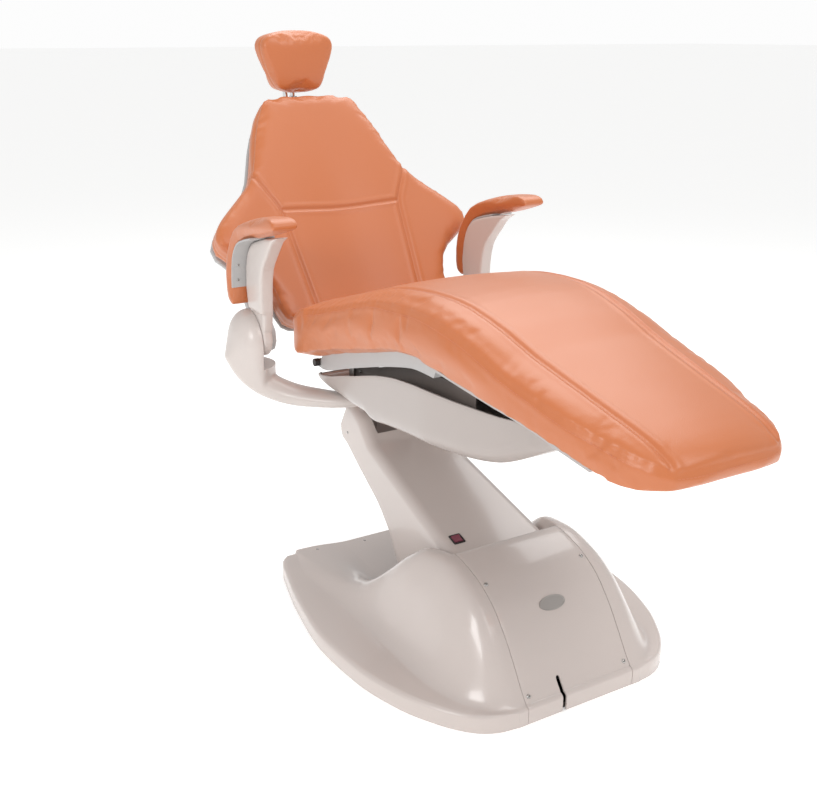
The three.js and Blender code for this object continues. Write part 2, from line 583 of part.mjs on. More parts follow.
// ---------- levelling link ----------
const link = group(linkPivot.y, linkPivot.z);
link.rotation.x = radians(ARM_ANGLE);
const linkEye = LINK_PIN + 6;
const linkBar = alongX(barOutline(HERE, linkEye, armEnd, LINK_HALF_DEPTH + 4), ...LINK_X);
const linkWaist = box([LINK_X[0] - 1, LINK_X[1] + 1], [linkEye + 8, ARM_LENGTH - 26], [LINK_HALF_DEPTH, 30]);
const linkHoles = [HERE, armEnd].map((at) => pinHole(at, LINK_PIN));
piece('levelling_link', cut(linkBar, linkWaist, ...linkHoles), steel, link);

// ---------- cylinders ----------
// A tube closed at the bottom and its rod, along +Z of their own group.
const lathe = (profile, sides = 24) => solid(
  new THREE.LatheGeometry(profile.map(([r, h]) => new THREE.Vector2(r, h)), sides).rotateX(Math.PI / 2),
);
function tubeBody(radius, bore, from, to, floorThick) {
  const inside = from + floorThick;
  return lathe([[0, from], [radius, from], [radius, to], [bore, to], [bore, inside], [0, inside]]);
}

const inSideView = (y, z) => new THREE.Vector3(0, y, z);
function fromArm(y, z) {
  const a = radians(ARM_ANGLE);
  const along = y * Math.cos(a) - z * Math.sin(a);
  const up = y * Math.sin(a) + z * Math.cos(a);
  return inSideView(ARM_PIVOT.y + along, ARM_PIVOT.z + up);
}
const lugAt = fromArm(LIFT_LUG.along, -LIFT_LUG.drop);
const liftRun = lugAt.clone().sub(inSideView(CYLINDER_PIVOT.y, CYLINDER_PIVOT.z));
const lift = group(CYLINDER_PIVOT.y, CYLINDER_PIVOT.z);
lift.position.x = CYLINDER_X;
lift.rotation.x = Math.atan2(liftRun.z, liftRun.y) - Math.PI / 2;
const tubeBase = 8;
const clevisBore = bar([-30, 0, 0], [30, 0, 0], 5 + PIN_FIT);
const liftEye = bar([-CYLINDER_RADIUS, 0, 0], [CYLINDER_RADIUS, 0, 0], 11);
piece('lift_cylinder', cut(
  joined(tubeBody(CYLINDER_RADIUS, CYLINDER_BORE, tubeBase, CYLINDER_LENGTH, 4), liftEye),
  clevisBore,
), steel, lift);
const rodEnd = liftRun.length() - OPEN_PIVOT;
const rodEye = bar([-ROD_EYE.half, 0, rodEnd - 9], [ROD_EYE.half, 0, rodEnd - 9], ROD_EYE.radius);
const eyeBore = bar([-9, 0, rodEnd - 9], [9, 0, rodEnd - 9], ROD_EYE.bore);
const liftRod = bar([0, 0, ROD_START], [0, 0, rodEnd - 12], ROD_RADIUS - PIN_FIT);
piece('lift_rod', cut(joined(liftRod, rodEye), eyeBore), chrome, lift);

// ---------- carriage ----------
const carriagePivot = fromArm(ARM_LENGTH, 0);
const carriage = group(carriagePivot.y - CARRIAGE_PIVOT.y, carriagePivot.z - CARRIAGE_PIVOT.z);
const upperLink = { y: CARRIAGE_PIVOT.y + LINK_OFFSET.y, z: CARRIAGE_PIVOT.z + LINK_OFFSET.z };
const deckTop = DECK.z + DECK.thick;
const seatEarX = [96, 106];

function yoke(grow) {
  const rings = YOKE_PATH.map((at, i) => {
    const before = new THREE.Vector3(...YOKE_PATH[Math.max(i - 1, 0)]);
    const after = new THREE.Vector3(...YOKE_PATH[Math.min(i + 1, YOKE_PATH.length - 1)]);
    const along = after.sub(before).normalize();
    const across = new THREE.Vector3().crossVectors(Z, along).normalize();
    const up = new THREE.Vector3().crossVectors(along, across);
    return Array.from({ length: 12 }, (_, k) => {
      const angle = 2 * Math.PI * k / 12;
      return new THREE.Vector3(...at)
        .addScaledVector(across, (YOKE_HALF[i][0] + grow) * Math.cos(angle))
        .addScaledVector(up, (YOKE_HALF[i][1] + grow) * Math.sin(angle)).toArray();
    });
  });
  return lofted(rings);
}
const discX = [BRACKET_X[1] + RUNNING, BRACKET_X[1] + RUNNING + DISC_THICK];
const housingX = discX[1] + RUNNING;
const housing = new THREE.SphereGeometry(1, 18, 12).scale(HOUSING.bulge, HOUSING.radius, HOUSING.radius);
const housingDome = solid(housing.translate(housingX, HOUSING.y, HOUSING.z));
const leverRoom = bar([BRACKET_X[0] - 4, HUB.y, HUB.z], [discX[0], HUB.y, HUB.z], HUB_DISC + 24, 32);
const insideHousing = box([0, housingX], [HUB.y - 70, HUB.y + 200], [HUB.z - 70, HUB.z + 200]);
const discRoom = bar([0, HUB.y, HUB.z], [housingX, HUB.y, HUB.z], HUB_DISC + 2, 32);
function hubPin(radius, sign, from, to) {
  return bar([sign * from, HUB.y, HUB.z], [sign * to, HUB.y, HUB.z], radius);
}
const hubPinOuter = housingX + 18;
const mirror = (body, sign) => {
  if (sign > 0) return body;
  const { vertProperties, triVerts } = body.getMesh();
  const flipped = vertProperties.map((value, i) => (i % 3 === 0 ? -value : value));
  const turnedRound = triVerts.map((_, i) => triVerts[i - (i % 3) + [0, 2, 1][i % 3]]);
  return new wasm.Manifold(new wasm.Mesh({ numProp: 3, vertProperties: flipped, triVerts: turnedRound }));
};
const yokeBore = hubPin(HUB_PIN + PIN_FIT, 1, 200, hubPinOuter + GAP);
const yokeBody = cut(joined(yoke(0), housingDome), insideHousing, discRoom, leverRoom, yokeBore);
SIDES.forEach(([side, sign]) => {
  piece(`yoke_${side}`, mirror(yokeBody, sign), shellGloss, carriage);
  piece(`hub_pin_${side}`, hubPin(HUB_PIN, sign, BRACKET_X[0] - 2, hubPinOuter), steel, carriage);
});

const pivotEar = barOutline(upperLink, LINK_PIN + 5, { y: CARRIAGE_PIVOT.y - 14, z: DECK.z + 4 }, 30);
const pivotEars = SIDES.map(([, sign]) => alongX(pivotEar, ...mirrorX([earInner, earOuter], sign)));
const seatEar = barOutline(SEAT_PIVOT, SEAT_PIN + 6, { y: SEAT_PIVOT.y - 34, z: DECK.z + 10 }, 16);
const seatEars = SIDES.map(([, sign]) => alongX(seatEar, ...mirrorX(seatEarX, sign)));
const deck = box([-DECK.half, DECK.half], [DECK.front, DECK.rear], [DECK.z, deckTop]);
const belowDeck = box([-300, 300], [DECK.rear - 200, DECK.rear + 200], [DECK.z - 300, DECK.z]);
const seatPin = (radius, sign) => {
  const ends = [sign * (seatEarX[0] - 2), sign * (PAN_HALF + 2)];
  return bar([ends[0], SEAT_PIVOT.y, SEAT_PIVOT.z], [ends[1], SEAT_PIVOT.y, SEAT_PIVOT.z], radius);
};
const seatPinHoles = [-1, 1].map((sign) => seatPin(SEAT_PIN + PIN_FIT, sign));
piece('carriage_frame', cut(
  joined(deck, ...pivotEars, ...seatEars.map((ear) => ear.subtract(belowDeck))),
  pinHole(CARRIAGE_PIVOT, ARM_PIN),
  pinHole(upperLink, LINK_PIN),
  ...seatPinHoles,
), darkMetal, carriage);
piece('link_pin_upper', crossBar(upperLink, pinHalf, LINK_PIN), steel, carriage);
SIDES.forEach(([side, sign]) => {
  piece(`seat_pivot_pin_${side}`, seatPin(SEAT_PIN, sign), steel, carriage);
  const ends = [sign * (PAN_HALF + 2 + GAP), sign * (PAN_HALF + 14)];
  const cap = bar([ends[0], SEAT_PIVOT.y, SEAT_PIVOT.z], [ends[1], SEAT_PIVOT.y, SEAT_PIVOT.z], SEAT_PIN + 1);
  piece(`pivot_cap_${side}`, cap, blackPlastic, carriage);
});

// The tub: outer body less an inner body that is open above.
const tubOutline = [...smooth(TUB_TOP, 20), ...smooth(TUB_UNDER, 26)];
const tubInner = [...shifted(smooth(TUB_UNDER, 26), TUB_WALL), [TUB_TOP[0][0], 800], [TUB_UNDER[0][0], 800]];
const tub = cut(
  alongX(tubOutline, -200, 200).intersect(alongZ(planOutline(TUB_PLAN, 26), 300, 700)),
  alongX(tubInner, -200, 200).intersect(alongZ(planOutline(TUB_PLAN, 26, TUB_WALL), 300, 900)),
  mirror(yoke(GAP), 1),
  mirror(yoke(GAP), -1),
  box([-earOuter - 2, earOuter + 2], [CARRIAGE_PIVOT.y - 50, CARRIAGE_PIVOT.y + 60], [400, DECK.z + 30]),
  box([-DECK.half - 1, DECK.half + 1], [DECK.front - 1, DECK.rear + 30], [DECK.z - 1, 900]),
);
piece('carriage_cover', tub, tubGloss, carriage);
const tiltTube = tubeBody(11, 6.5, 0, TILT_CYLINDER.top - TILT_CYLINDER.bottom, 3);
const tilt = group(TILT_CYLINDER.y, TILT_CYLINDER.bottom, carriage);
tilt.position.x = TILT_CYLINDER.x;
const tiltFoot = box([-16, 16], [-16, 16], [deckTop + GAP - TILT_CYLINDER.bottom, 1]);
piece('tilt_cylinder', joined(tiltTube, tiltFoot), steel, tilt);
const inTilt = (height) => [0, 0, height - TILT_CYLINDER.bottom];
piece('tilt_rod', bar(inTilt(TILT_CYLINDER.rodStart), inTilt(TILT_CYLINDER.rodTop), 6), chrome, tilt);

// ---------- seat ----------
const underside = smooth(SEAT_UNDER, 30);
const seatOutline = [...smooth(SEAT_TOP, 28), ...underside];
const seat = group(0, 0, carriage);
const seatBody = alongX(seatOutline, -260, 260).intersect(alongZ(planOutline(SEAT_PLAN, 26), 400, 900));
piece('seat_cushion', seatBody, vinyl, seat);
const boardLine = (below) => shifted(underside, -below)
  .filter(([y]) => y > TOE_BOARD_END && y < PAN_UNDER[0][0]);
const boardTop = boardLine(GAP);
const boardUnder = boardLine(GAP + PAN_WALL);
const panFront = PAN_UNDER[PAN_UNDER.length - 1][0];
const boardRest = boardUnder.filter(([y]) => y < panFront - 8).reverse();
const panOutline = [...boardTop, ...smooth(PAN_UNDER, 18), ...boardRest];
const panRear = PAN_UNDER[0][0] + 40;
const roomTop = boardUnder.filter(([y]) => y > panFront + 12);
const roomEnd = [[panRear, roomTop[roomTop.length - 1][1] - 10], [panRear, 400], [roomTop[0][0], 400]];
const panRoom = [...roomTop, ...roomEnd];
const boardPlan = alongZ(planOutline(SEAT_PLAN, 36, BOARD_INSET), 400, 900);
const pan = cut(
  alongX(panOutline, -PAN_HALF, PAN_HALF).intersect(boardPlan),
  alongX(panRoom, -PAN_HALF + PAN_WALL, PAN_HALF - PAN_WALL),
  ...seatPinHoles,
);
piece('seat_pan', pan, greyPlastic, seat);

// ---------- back ----------
const back = group(HUB.y, HUB.z, carriage);
back.rotation.x = radians(-BACK_TILT);
const backOutline = mirrored(BACK_OUTLINE, 24);
const cushionBack = BACK_FRONT + BACK_CUSHION;
const shellFront = cushionBack + GAP;
const frameFront = shellFront + BACK_SHELL + GAP;
const inner = backOutline.map(([x, z]) => [x * 0.96, z * 0.97 + 8]);
piece('back_cushion', alongY(backOutline, BACK_FRONT, cushionBack), vinyl, back);
piece('back_shell', alongY(inner, shellFront, shellFront + BACK_SHELL), greyPlastic, back);

const inBack = (y, z) => {
  const a = radians(BACK_TILT);
  return { y: y * Math.cos(a) - z * Math.sin(a), z: y * Math.sin(a) + z * Math.cos(a) };
};
const leverTurn = radians(RECLINE_LEVER.angle);
const leverEnd = [RECLINE_LEVER.radius * Math.cos(leverTurn), RECLINE_LEVER.radius * Math.sin(leverTurn)];
const leverWorld = inSideView(HUB.y + leverEnd[0], HUB.z + leverEnd[1]);
const lever = inBack(...leverEnd);
const sidePlates = SIDES.map(([, sign]) => {
  const range = mirrorX(BRACKET_X, sign);
  const riser = barOutline({ y: frameFront + 9, z: 70 }, 9, { y: frameFront + 9, z: 160 }, 8.9);
  return joined(
    alongX(barOutline(HERE, HUB_DISC - 8, { y: frameFront + 7, z: 66 }, 8), ...range),
    alongX(riser, ...range),
  );
});
const crossPlate = box([-BRACKET_X[1], BRACKET_X[1]], [frameFront, frameFront + FRAME_PLATE], [70, 160]);
const cushionRoom = box([-400, 400], [BACK_FRONT - 40, frameFront], [88, 500]);
const leverRoot = { y: frameFront + 11, z: 96 };
const leverOutline = barOutline(leverRoot, 14, lever, 13);
const leverPlates = SIDES.map(([, sign]) => alongX(leverOutline, ...mirrorX(LEVER_X, sign)));
const shellRoom = box([-240, 240], [BACK_FRONT, frameFront], [0, 500]);
const leverTube = crossBar(lever, LEVER_X[0] + 2, 8);
piece('back_frame', cut(
  joined(...sidePlates, crossPlate, ...leverPlates, leverTube),
  cushionRoom,
  shellRoom,
  crossBar(HERE, 400, HUB_PIN + PIN_FIT),
), greyPlastic, back);

const barFront = frameFront + BAR.clear;
const barMiddle = barFront + BAR.thick / 2;
const barBack = barFront + BAR.thick;
const barX = [-BAR.half, BAR.half];
const guideHalf = BAR.half + 8;
const guideOuter = box([-guideHalf, guideHalf], [frameFront, barBack + GUIDE.wall], [GUIDE.from, GUIDE.to]);
const guideSlot = box(
  [-BAR.half - GAP, BAR.half + GAP],
  [barFront - GAP, barBack + GAP],
  [GUIDE.from - 9, GUIDE.to + 9],
);
piece('headrest_guide', cut(guideOuter, guideSlot), blackPlastic, back);

// ---------- headrest ----------
const barPivot = { y: barMiddle, z: BAR.to };
const headPinHole = (at) => crossBar(at, 40, HEAD_PIN + PIN_FIT);
const barBody = joined(
  box(barX, [barFront, barBack], [BAR.from, BAR.to - 4]),
  bar([-7, barPivot.y, barPivot.z], [7, barPivot.y, barPivot.z], HEAD_EYE),
);
const reliefRun = [BAR.to - HEAD_EYE - 6, BAR.to + 40];
const barRelief = SIDES.map(([, sign]) => box(mirrorX([7, 40], sign), [0, 100], reliefRun));
piece('headrest_bar', cut(barBody, ...barRelief, headPinHole(barPivot)), chrome, back);

const backTurn = radians(BACK_TILT);
const lowerWorld = {
  y: HUB.y + barMiddle * Math.cos(backTurn) + BAR.to * Math.sin(backTurn),
  z: HUB.z - barMiddle * Math.sin(backTurn) + BAR.to * Math.cos(backTurn),
};
const linkGroup = group(lowerWorld.y, lowerWorld.z, carriage);
const headOffset = { y: HEAD_PIVOT.y - lowerWorld.y, z: HEAD_PIVOT.z - lowerWorld.z };
const headLinkOutline = barOutline(HERE, HEAD_EYE, headOffset, HEAD_EYE - 0.1);
const headLinks = SIDES.map(([, sign]) => alongX(headLinkOutline, ...mirrorX([7 + GAP, 13], sign)));
const spacerAt = { y: headOffset.y * 0.5, z: headOffset.z * 0.5 };
const headHoles = [HERE, headOffset].map(headPinHole);
piece('headrest_link', cut(joined(...headLinks, crossBar(spacerAt, 8, 6)), ...headHoles), chrome, linkGroup);
piece('headrest_pin', bar([-14, 0, 0], [22, 0, 0], HEAD_PIN), steel, linkGroup);
const lockAt = barOutline(HERE, 8, { y: 6, z: -34 }, 5);
piece('headrest_lock', cut(alongX(lockAt, 14.5, 20), headPinHole(HERE)), blackPlastic, linkGroup);

const head = group(HEAD_PIVOT.y, HEAD_PIVOT.z, carriage);
const headBack = HEAD_FACE + HEAD_THICK;
const headOutline = mirrored(HEAD_OUTLINE, 22);
piece('headrest_cushion', alongY(headOutline, HEAD_FACE, headBack), vinyl, head);
const headPlate = headOutline.map(([x, z]) => [x * 0.8, z * 0.8]);
const headLug = joined(
  bar([-6.6, 0, 0], [6.6, 0, 0], HEAD_EYE),
  box([-6.6, 6.6], [headBack + 3, 0], [-HEAD_EYE, HEAD_EYE]),
);
const headBoard = alongY(headPlate, headBack + GAP, headBack + 6);
piece('headrest_plate', cut(joined(headBoard, headLug), headPinHole(HERE)), blackPlastic, head);
piece('headrest_pin_upper', crossBar(HERE, 14, HEAD_PIN), steel, head);

// ---------- armrests ----------
const padInner = smooth(PAD_INNER, 16);
const padOutline = [...smooth(PAD_OUTER, 22), ...padInner];
const plateFace = shifted(padInner, GAP);
const plateBack = shifted(padInner, GAP + PAD_PLATE);
const postTop = shifted(padInner, 2 * GAP + PAD_PLATE);
const stripFrom = 2;
const stripTo = 12;
const padStrip = [...plateFace.slice(stripFrom, stripTo), ...plateBack.slice(stripFrom, stripTo).reverse()];
const postOutline = [...postTop.slice(stripFrom, stripTo), ...smooth(POST_FRONT, 10), [-56, 64], [22, 64]];
SIDES.forEach(([side, sign]) => {
  const rest = group(HUB.y, HUB.z, carriage);
  const disc = crossBar(HERE, 500, HUB_DISC, 36).intersect(box(mirrorX(discX, sign), [-90, 90], [-90, 90]));
  const neck = alongX([[-56, 68], [-46, 20], [44, 20], [24, 70]], ...mirrorX(discX, sign));
  const post = alongX(postOutline, ...mirrorX([discX[0], ARM_POST_X[1]], sign));
  const postBody = cut(joined(disc, neck, post), crossBar(HERE, 500, HUB_PIN + PIN_FIT));
  const stripX = mirrorX([ARM_PAD_X[0] + 3, ARM_PAD_X[1] - 3], sign);
  piece(`armrest_post_${side}`, postBody, shellGloss, rest);
  piece(`armrest_plate_${side}`, alongX(padStrip, ...stripX), greyPlastic, rest);
  piece(`armrest_pad_${side}`, alongX(padOutline, ...mirrorX(ARM_PAD_X, sign)), vinyl, rest);
});

// ---------- recline cylinder ----------
const reclineRun = leverWorld.clone().sub(inSideView(RECLINE_PIVOT.y, RECLINE_PIVOT.z));
const recline = group(RECLINE_PIVOT.y, RECLINE_PIVOT.z, carriage);
recline.rotation.x = Math.atan2(reclineRun.z, reclineRun.y) - Math.PI / 2;
piece('recline_cylinder', tubeBody(11, 7, 6, RECLINE_LENGTH, 4), steel, recline);
piece('recline_rod', bar([0, 0, RECLINE_ROD_START], [0, 0, reclineRun.length() - 16], 6.5), chrome, recline);

export default root;
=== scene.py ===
"""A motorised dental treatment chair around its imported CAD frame. Metres, +Z up; the patient faces -Y."""
import math

import bmesh
import bpy
import numpy as np
from mathutils import Matrix, Vector
from mathutils.bvhtree import BVHTree
from mathutils.kdtree import KDTree


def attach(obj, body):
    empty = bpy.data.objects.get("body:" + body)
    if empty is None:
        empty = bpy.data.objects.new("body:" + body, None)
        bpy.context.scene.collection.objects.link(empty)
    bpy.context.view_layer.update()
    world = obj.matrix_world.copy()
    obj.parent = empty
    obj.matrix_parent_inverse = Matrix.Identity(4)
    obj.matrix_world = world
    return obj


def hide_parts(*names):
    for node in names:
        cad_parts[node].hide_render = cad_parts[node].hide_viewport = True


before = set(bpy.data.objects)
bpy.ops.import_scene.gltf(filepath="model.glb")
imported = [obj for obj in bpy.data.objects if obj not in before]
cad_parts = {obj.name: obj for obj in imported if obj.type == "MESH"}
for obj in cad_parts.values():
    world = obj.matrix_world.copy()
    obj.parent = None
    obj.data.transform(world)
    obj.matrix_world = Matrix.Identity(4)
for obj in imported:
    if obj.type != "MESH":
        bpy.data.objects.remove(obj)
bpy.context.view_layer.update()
scene = bpy.context.scene
MM = 0.001

# ---------- camera ----------
# A short telephoto view from the patient's right, a little above the seat.
CAMERA_PLACE = (-1.1411, -1.72696, 1.23452)
CAMERA_TURN, CAMERA_DROP = math.radians(-30), math.radians(19.6005)
camera = bpy.data.cameras.new("camera")
camera.sensor_fit, camera.sensor_width, camera.lens = "HORIZONTAL", 36, 45.518
camera_object = bpy.data.objects.new("camera", camera)
scene.collection.objects.link(camera_object)
forward = Vector((-math.sin(CAMERA_TURN) * math.cos(CAMERA_DROP),
                  math.cos(CAMERA_TURN) * math.cos(CAMERA_DROP),
                  -math.sin(CAMERA_DROP)))
sideways = Vector((math.cos(CAMERA_TURN), math.sin(CAMERA_TURN), 0))
camera_object.matrix_world = Matrix.Translation(CAMERA_PLACE) @ Matrix(
    (sideways, sideways.cross(forward), -forward)).transposed().to_4x4()
scene.camera = camera_object
scene.view_settings.view_transform = "Standard"


# ---------- floor and light ----------
# A seamless pale studio floor under broad soft boxes: one overhead, one in front, one at the patient's right.
def linear(colour):
    """An sRGB hex colour as linear red, green, blue and alpha."""
    channels = [int(colour[i:i + 2], 16) / 255 for i in (1, 3, 5)]
    return (*[c / 12.92 if c <= 0.04045 else ((c + 0.055) / 1.055) ** 2.4 for c in channels], 1)


def node(tree, kind, inputs=None, **settings):
    """Adds a node; inputs maps a socket's name or number to a value, or to another node's output."""
    made = tree.nodes.new(kind)
    for key, value in settings.items():
        setattr(made, key, value)
    for key, value in (inputs or {}).items():
        if isinstance(value, bpy.types.NodeSocket):
            tree.links.new(value, made.inputs[key])
        else:
            made.inputs[key].default_value = value
    return made


def new_material(name):
    material = bpy.data.materials.new(name)
    material.use_nodes = True
    return material, material.node_tree, material.node_tree.nodes["Principled BSDF"]


FLOOR_HALF = 90
floor_mesh = bpy.data.meshes.new("studio_floor")
floor_mesh.from_pydata([(-FLOOR_HALF, -FLOOR_HALF, 0), (FLOOR_HALF, -FLOOR_HALF, 0),
                        (FLOOR_HALF, FLOOR_HALF, 0),
                        (-FLOOR_HALF, FLOOR_HALF, 0)], [], [(0, 1, 2, 3)])
floor = bpy.data.objects.new("studio_floor", floor_mesh)
scene.collection.objects.link(floor)
paper, tree, shader = new_material("matt_studio_paper")
shader.inputs["Base Color"].default_value = linear("#FDFDFC")
shader.inputs["Roughness"].default_value = 0.9
shader.inputs["Specular IOR Level"].default_value = 0.1
shader.inputs["Emission Color"].default_value = (1, 1, 1, 1)
shader.inputs["Emission Strength"].default_value = 0.34
floor_mesh.materials.append(paper)

world = bpy.data.worlds.new("studio")
scene.world = world
world.use_nodes = True
SKY_GLOW, SKY_SEEN = 0.6, 0.98
seen = node(world.node_tree, "ShaderNodeLightPath").outputs["Is Camera Ray"]
glow = node(world.node_tree, "ShaderNodeMapRange", {"Value": seen, "To Min": SKY_GLOW, "To Max": SKY_SEEN})
world.node_tree.links.new(glow.outputs["Result"], world.node_tree.nodes["Background"].inputs["Strength"])
world.node_tree.nodes["Background"].inputs["Color"].default_value = (1, 1, 1, 1)
SOFT_BOXES = {"overhead": ((0.9, 1.2, 3.0), (0, 0, 0.7), 2.4, 46),
              "front": ((0.3, -2.0, 3.1), (0, 0.5, 0.8), 1.8, 30),
              "right": ((-3.2, -1.2, 2.0), (0, 0, 0.4), 1.2, 32)}
for name, (place, aim, width, watts) in SOFT_BOXES.items():
    light = bpy.data.lights.new(name, "AREA")
    light.energy, light.size = watts, width
    light_object = bpy.data.objects.new(name, light)
    scene.collection.objects.link(light_object)
    light_object.matrix_world = Matrix.Translation(place) @ (
        Vector(place) - Vector(aim)).to_track_quat("Z", "Y").to_matrix().to_4x4()

# ---------- moulded base ---------- One thick gloss ABS moulding: a flat rim, a flange, a tall rounded hump
# in front and two falling lips behind. A lift-off front cover is let into the hump; both are drawn as one
# surface and parted along the seams.
EDGE = [[-425, 148], [-420, 182], [-406, 216], [-378, 248], [-344, 274], [-259, 318], [-143, 349], [-6, 360],
        [148, 343], [290, 313], [335, 300], [354, 284], [360, 262]]
CREST = [[-425, 135, 30], [-414, 135, 42], [-398, 135, 63], [-374, 135, 100], [-335, 135, 153],
         [-290, 135, 197], [-230, 135, 227], [-165, 135, 240], [-100, 142, 231], [-50, 153, 200],
         [-10, 168, 160], [30, 192, 118], [80, 206, 84], [150, 219, 62], [250, 234, 50], [360, 250, 44]]
FOOT = [[-425, 144], [-410, 186], [-390, 210], [-337, 242], [-245, 264], [-50, 270], [100, 276], [250, 284],
        [360, 258]]
LIP_SLOPE = [[-425, 20], [-158, 20], [0, 34], [100, 64], [250, 110], [360, 140]]
RIM_HEIGHT, RIM_ROUND, FLANGE_RISE, TROUGH_FLOOR, SHELL_WALL = 30, 12, 9, 34, 4
COVER_HALF, COVER_TOP, OPENING_REAR, SEAM = 128, -158, 150, 0.5


def table_value(table, key, column=1):
    """A value between a table's rows, on a smooth curve that doesn't overshoot."""
    last = len(table) - 1
    at = min(max(key, table[0][0]), table[last][0])
    i = 0
    while i < last - 1 and at > table[i + 1][0]:
        i += 1

    def slope(row):
        if row in (0, last):
            return 0
        before = (table[row][column] - table[row - 1][column]) / (table[row][0] - table[row - 1][0])
        after = (table[row + 1][column] - table[row][column]) / (table[row + 1][0] - table[row][0])
        return 0 if before * after <= 0 else 2 * before * after / (before + after)

    span = table[i + 1][0] - table[i][0]
    t = (at - table[i][0]) / span
    a, b = table[i][column], table[i + 1][column]
    slope_a, slope_b = slope(i) * span, slope(i + 1) * span
    return a + t * (slope_a + t * (3 * (b - a) - 2 * slope_a - slope_b + t * (2 * (a - b) + slope_a + slope_b)))


def fall(t):
    return 0.5 + 0.5 * math.cos(math.pi * min(max(t, 0), 1) ** 1.3)


def base_row(y):
    """Half of one row of the base's surface: (x, z) from the middle out to the rim's foot."""
    edge = table_value(EDGE, y)
    crest_half = min(table_value(CREST, y), edge - 6)
    foot = min(max(table_value(FOOT, y), crest_half + 3), edge - 2)
    slope = table_value(LIP_SLOPE, y)
    turn = max(foot + 0.5, edge - RIM_ROUND)
    columns = [*np.linspace(0, COVER_HALF - SEAM, 13), *np.linspace(COVER_HALF + SEAM, crest_half, 9),
               *(crest_half + (foot - crest_half) * np.linspace(0, 1, 21)[1:]), *np.linspace(foot, turn, 5)[1:],
               *(turn + (edge - turn) * np.sin(np.linspace(0, math.pi / 2, 8)[1:]))]
    row = []
    for x in columns:
        inside = min(edge - x, y - EDGE[0][0], EDGE[-1][0] - y)
        rounding = min(max(inside / RIM_ROUND, 0), 1)
        flange = RIM_HEIGHT + FLANGE_RISE * math.sqrt(1 - (1 - rounding) ** 2)
        crest = max(table_value(CREST, y, 2), flange)
        if x >= crest_half:
            z = flange + (crest - flange) * fall((x - crest_half) / (foot - crest_half))
        elif y < COVER_TOP:
            z = flange if rounding < 1 else crest
        else:
            z = TROUGH_FLOOR + (crest - TROUGH_FLOOR) * fall((crest_half - x) / slope)
        row.append((x, z))
    return row + [(row[-1][0], 1)]


front, rear = EDGE[0][0], EDGE[-1][0]
rim_steps = [RIM_ROUND * (1 - math.cos(a)) for a in np.linspace(0, math.pi / 2, 9)]
base_ys = sorted({*[round(front + s, 3) for s in rim_steps], *[round(rear - s, 3) for s in rim_steps],
                  *np.linspace(front + RIM_ROUND, COVER_TOP - SEAM, 44).round(3),
                  *np.linspace(COVER_TOP + SEAM, OPENING_REAR, 46).round(3),
                  *np.linspace(OPENING_REAR, rear - RIM_ROUND, 28).round(3)})
base_rows = [[(x, y, z) for x, z in base_row(y)] for y in base_ys]
base_rows = [[(x, y, 1) for x, y, _ in base_rows[0]], *base_rows, [(x, y, 1) for x, y, _ in base_rows[-1]]]
base_rows = [[(-x, y, z) for x, y, z in row[:0:-1]] + row for row in base_rows]


def new_piece(name, vertices, faces):
    """A smooth-shaded mesh object in metres from points in millimetres, with unused points left out."""
    mesh = bpy.data.meshes.new(name)
    mesh.from_pydata([(x * MM, y * MM, z * MM) for x, y, z in vertices], [], faces)
    shape = bmesh.new()
    shape.from_mesh(mesh)
    bmesh.ops.delete(shape, geom=[v for v in shape.verts if not v.link_faces], context="VERTS")
    shape.to_mesh(mesh)
    shape.free()
    mesh.shade_smooth()
    made = bpy.data.objects.new(name, mesh)
    scene.collection.objects.link(made)
    return made


def grid_piece(name, rows, keep=lambda x, y, z: True, closed=False):
    """A surface over equal rows of points, less the faces whose middle keep() turns down."""
    wide = len(rows[0])
    vertices = [point for row in rows for point in row]
    faces = []
    for i in range(len(rows) - 1):
        for j in range(wide if closed else wide - 1):
            k = (j + 1) % wide
            corners = (i * wide + j, i * wide + k, (i + 1) * wide + k, (i + 1) * wide + j)
            if keep(*(sum(vertices[c][axis] for c in corners) / 4 for axis in range(3))):
                faces.append(corners)
    return new_piece(name, vertices, faces)


def baked(piece, *modifiers):
    """Puts each modifier, a kind and its settings, on the piece and makes the result its plain mesh."""
    for kind, settings in modifiers:
        modifier = piece.modifiers.new(kind, kind)
        for key, value in settings.items():
            setattr(modifier, key, value)
    evaluated = piece.evaluated_get(bpy.context.evaluated_depsgraph_get())
    mesh = bpy.data.meshes.new_from_object(evaluated)
    piece.modifiers.clear()
    piece.data = mesh
    return piece


def wall(thickness, edge=0.7):
    """A moulding's wall behind its surface, with slightly broken edges."""
    return (("SOLIDIFY", {"thickness": thickness * MM, "offset": -1, "use_even_offset": False}),
            ("BEVEL", {"width": edge * MM, "segments": 2, "limit_method": "ANGLE", "angle_limit": math.radians(60)}))


def in_cover(x, y, z):
    return abs(x) < COVER_HALF - SEAM and y < COVER_TOP - SEAM


def in_base_shell(x, y, z):
    return not (abs(x) < COVER_HALF + SEAM and y < OPENING_REAR) and z > 0


base_piece = baked(grid_piece("base_moulding", base_rows, in_base_shell), *wall(SHELL_WALL))
cover_piece = baked(grid_piece("front_cover_moulding", base_rows, in_cover), *wall(SHELL_WALL))
for moulding in (base_piece, cover_piece):
    for vertex in moulding.data.vertices:
        vertex.co.z = max(vertex.co.z, 0.5 * MM)

# Gloss ABS: warm off-white, moulded against a polished tool, so a clear gloss over a very faint orange-peel.
# Real orange-peel is about 1 mm across; it is drawn at 6 mm so that it shows in the highlights.
SHELL_GLOSS, SHELL_SHADE = "#CFC4BF", "#CBC0BA"


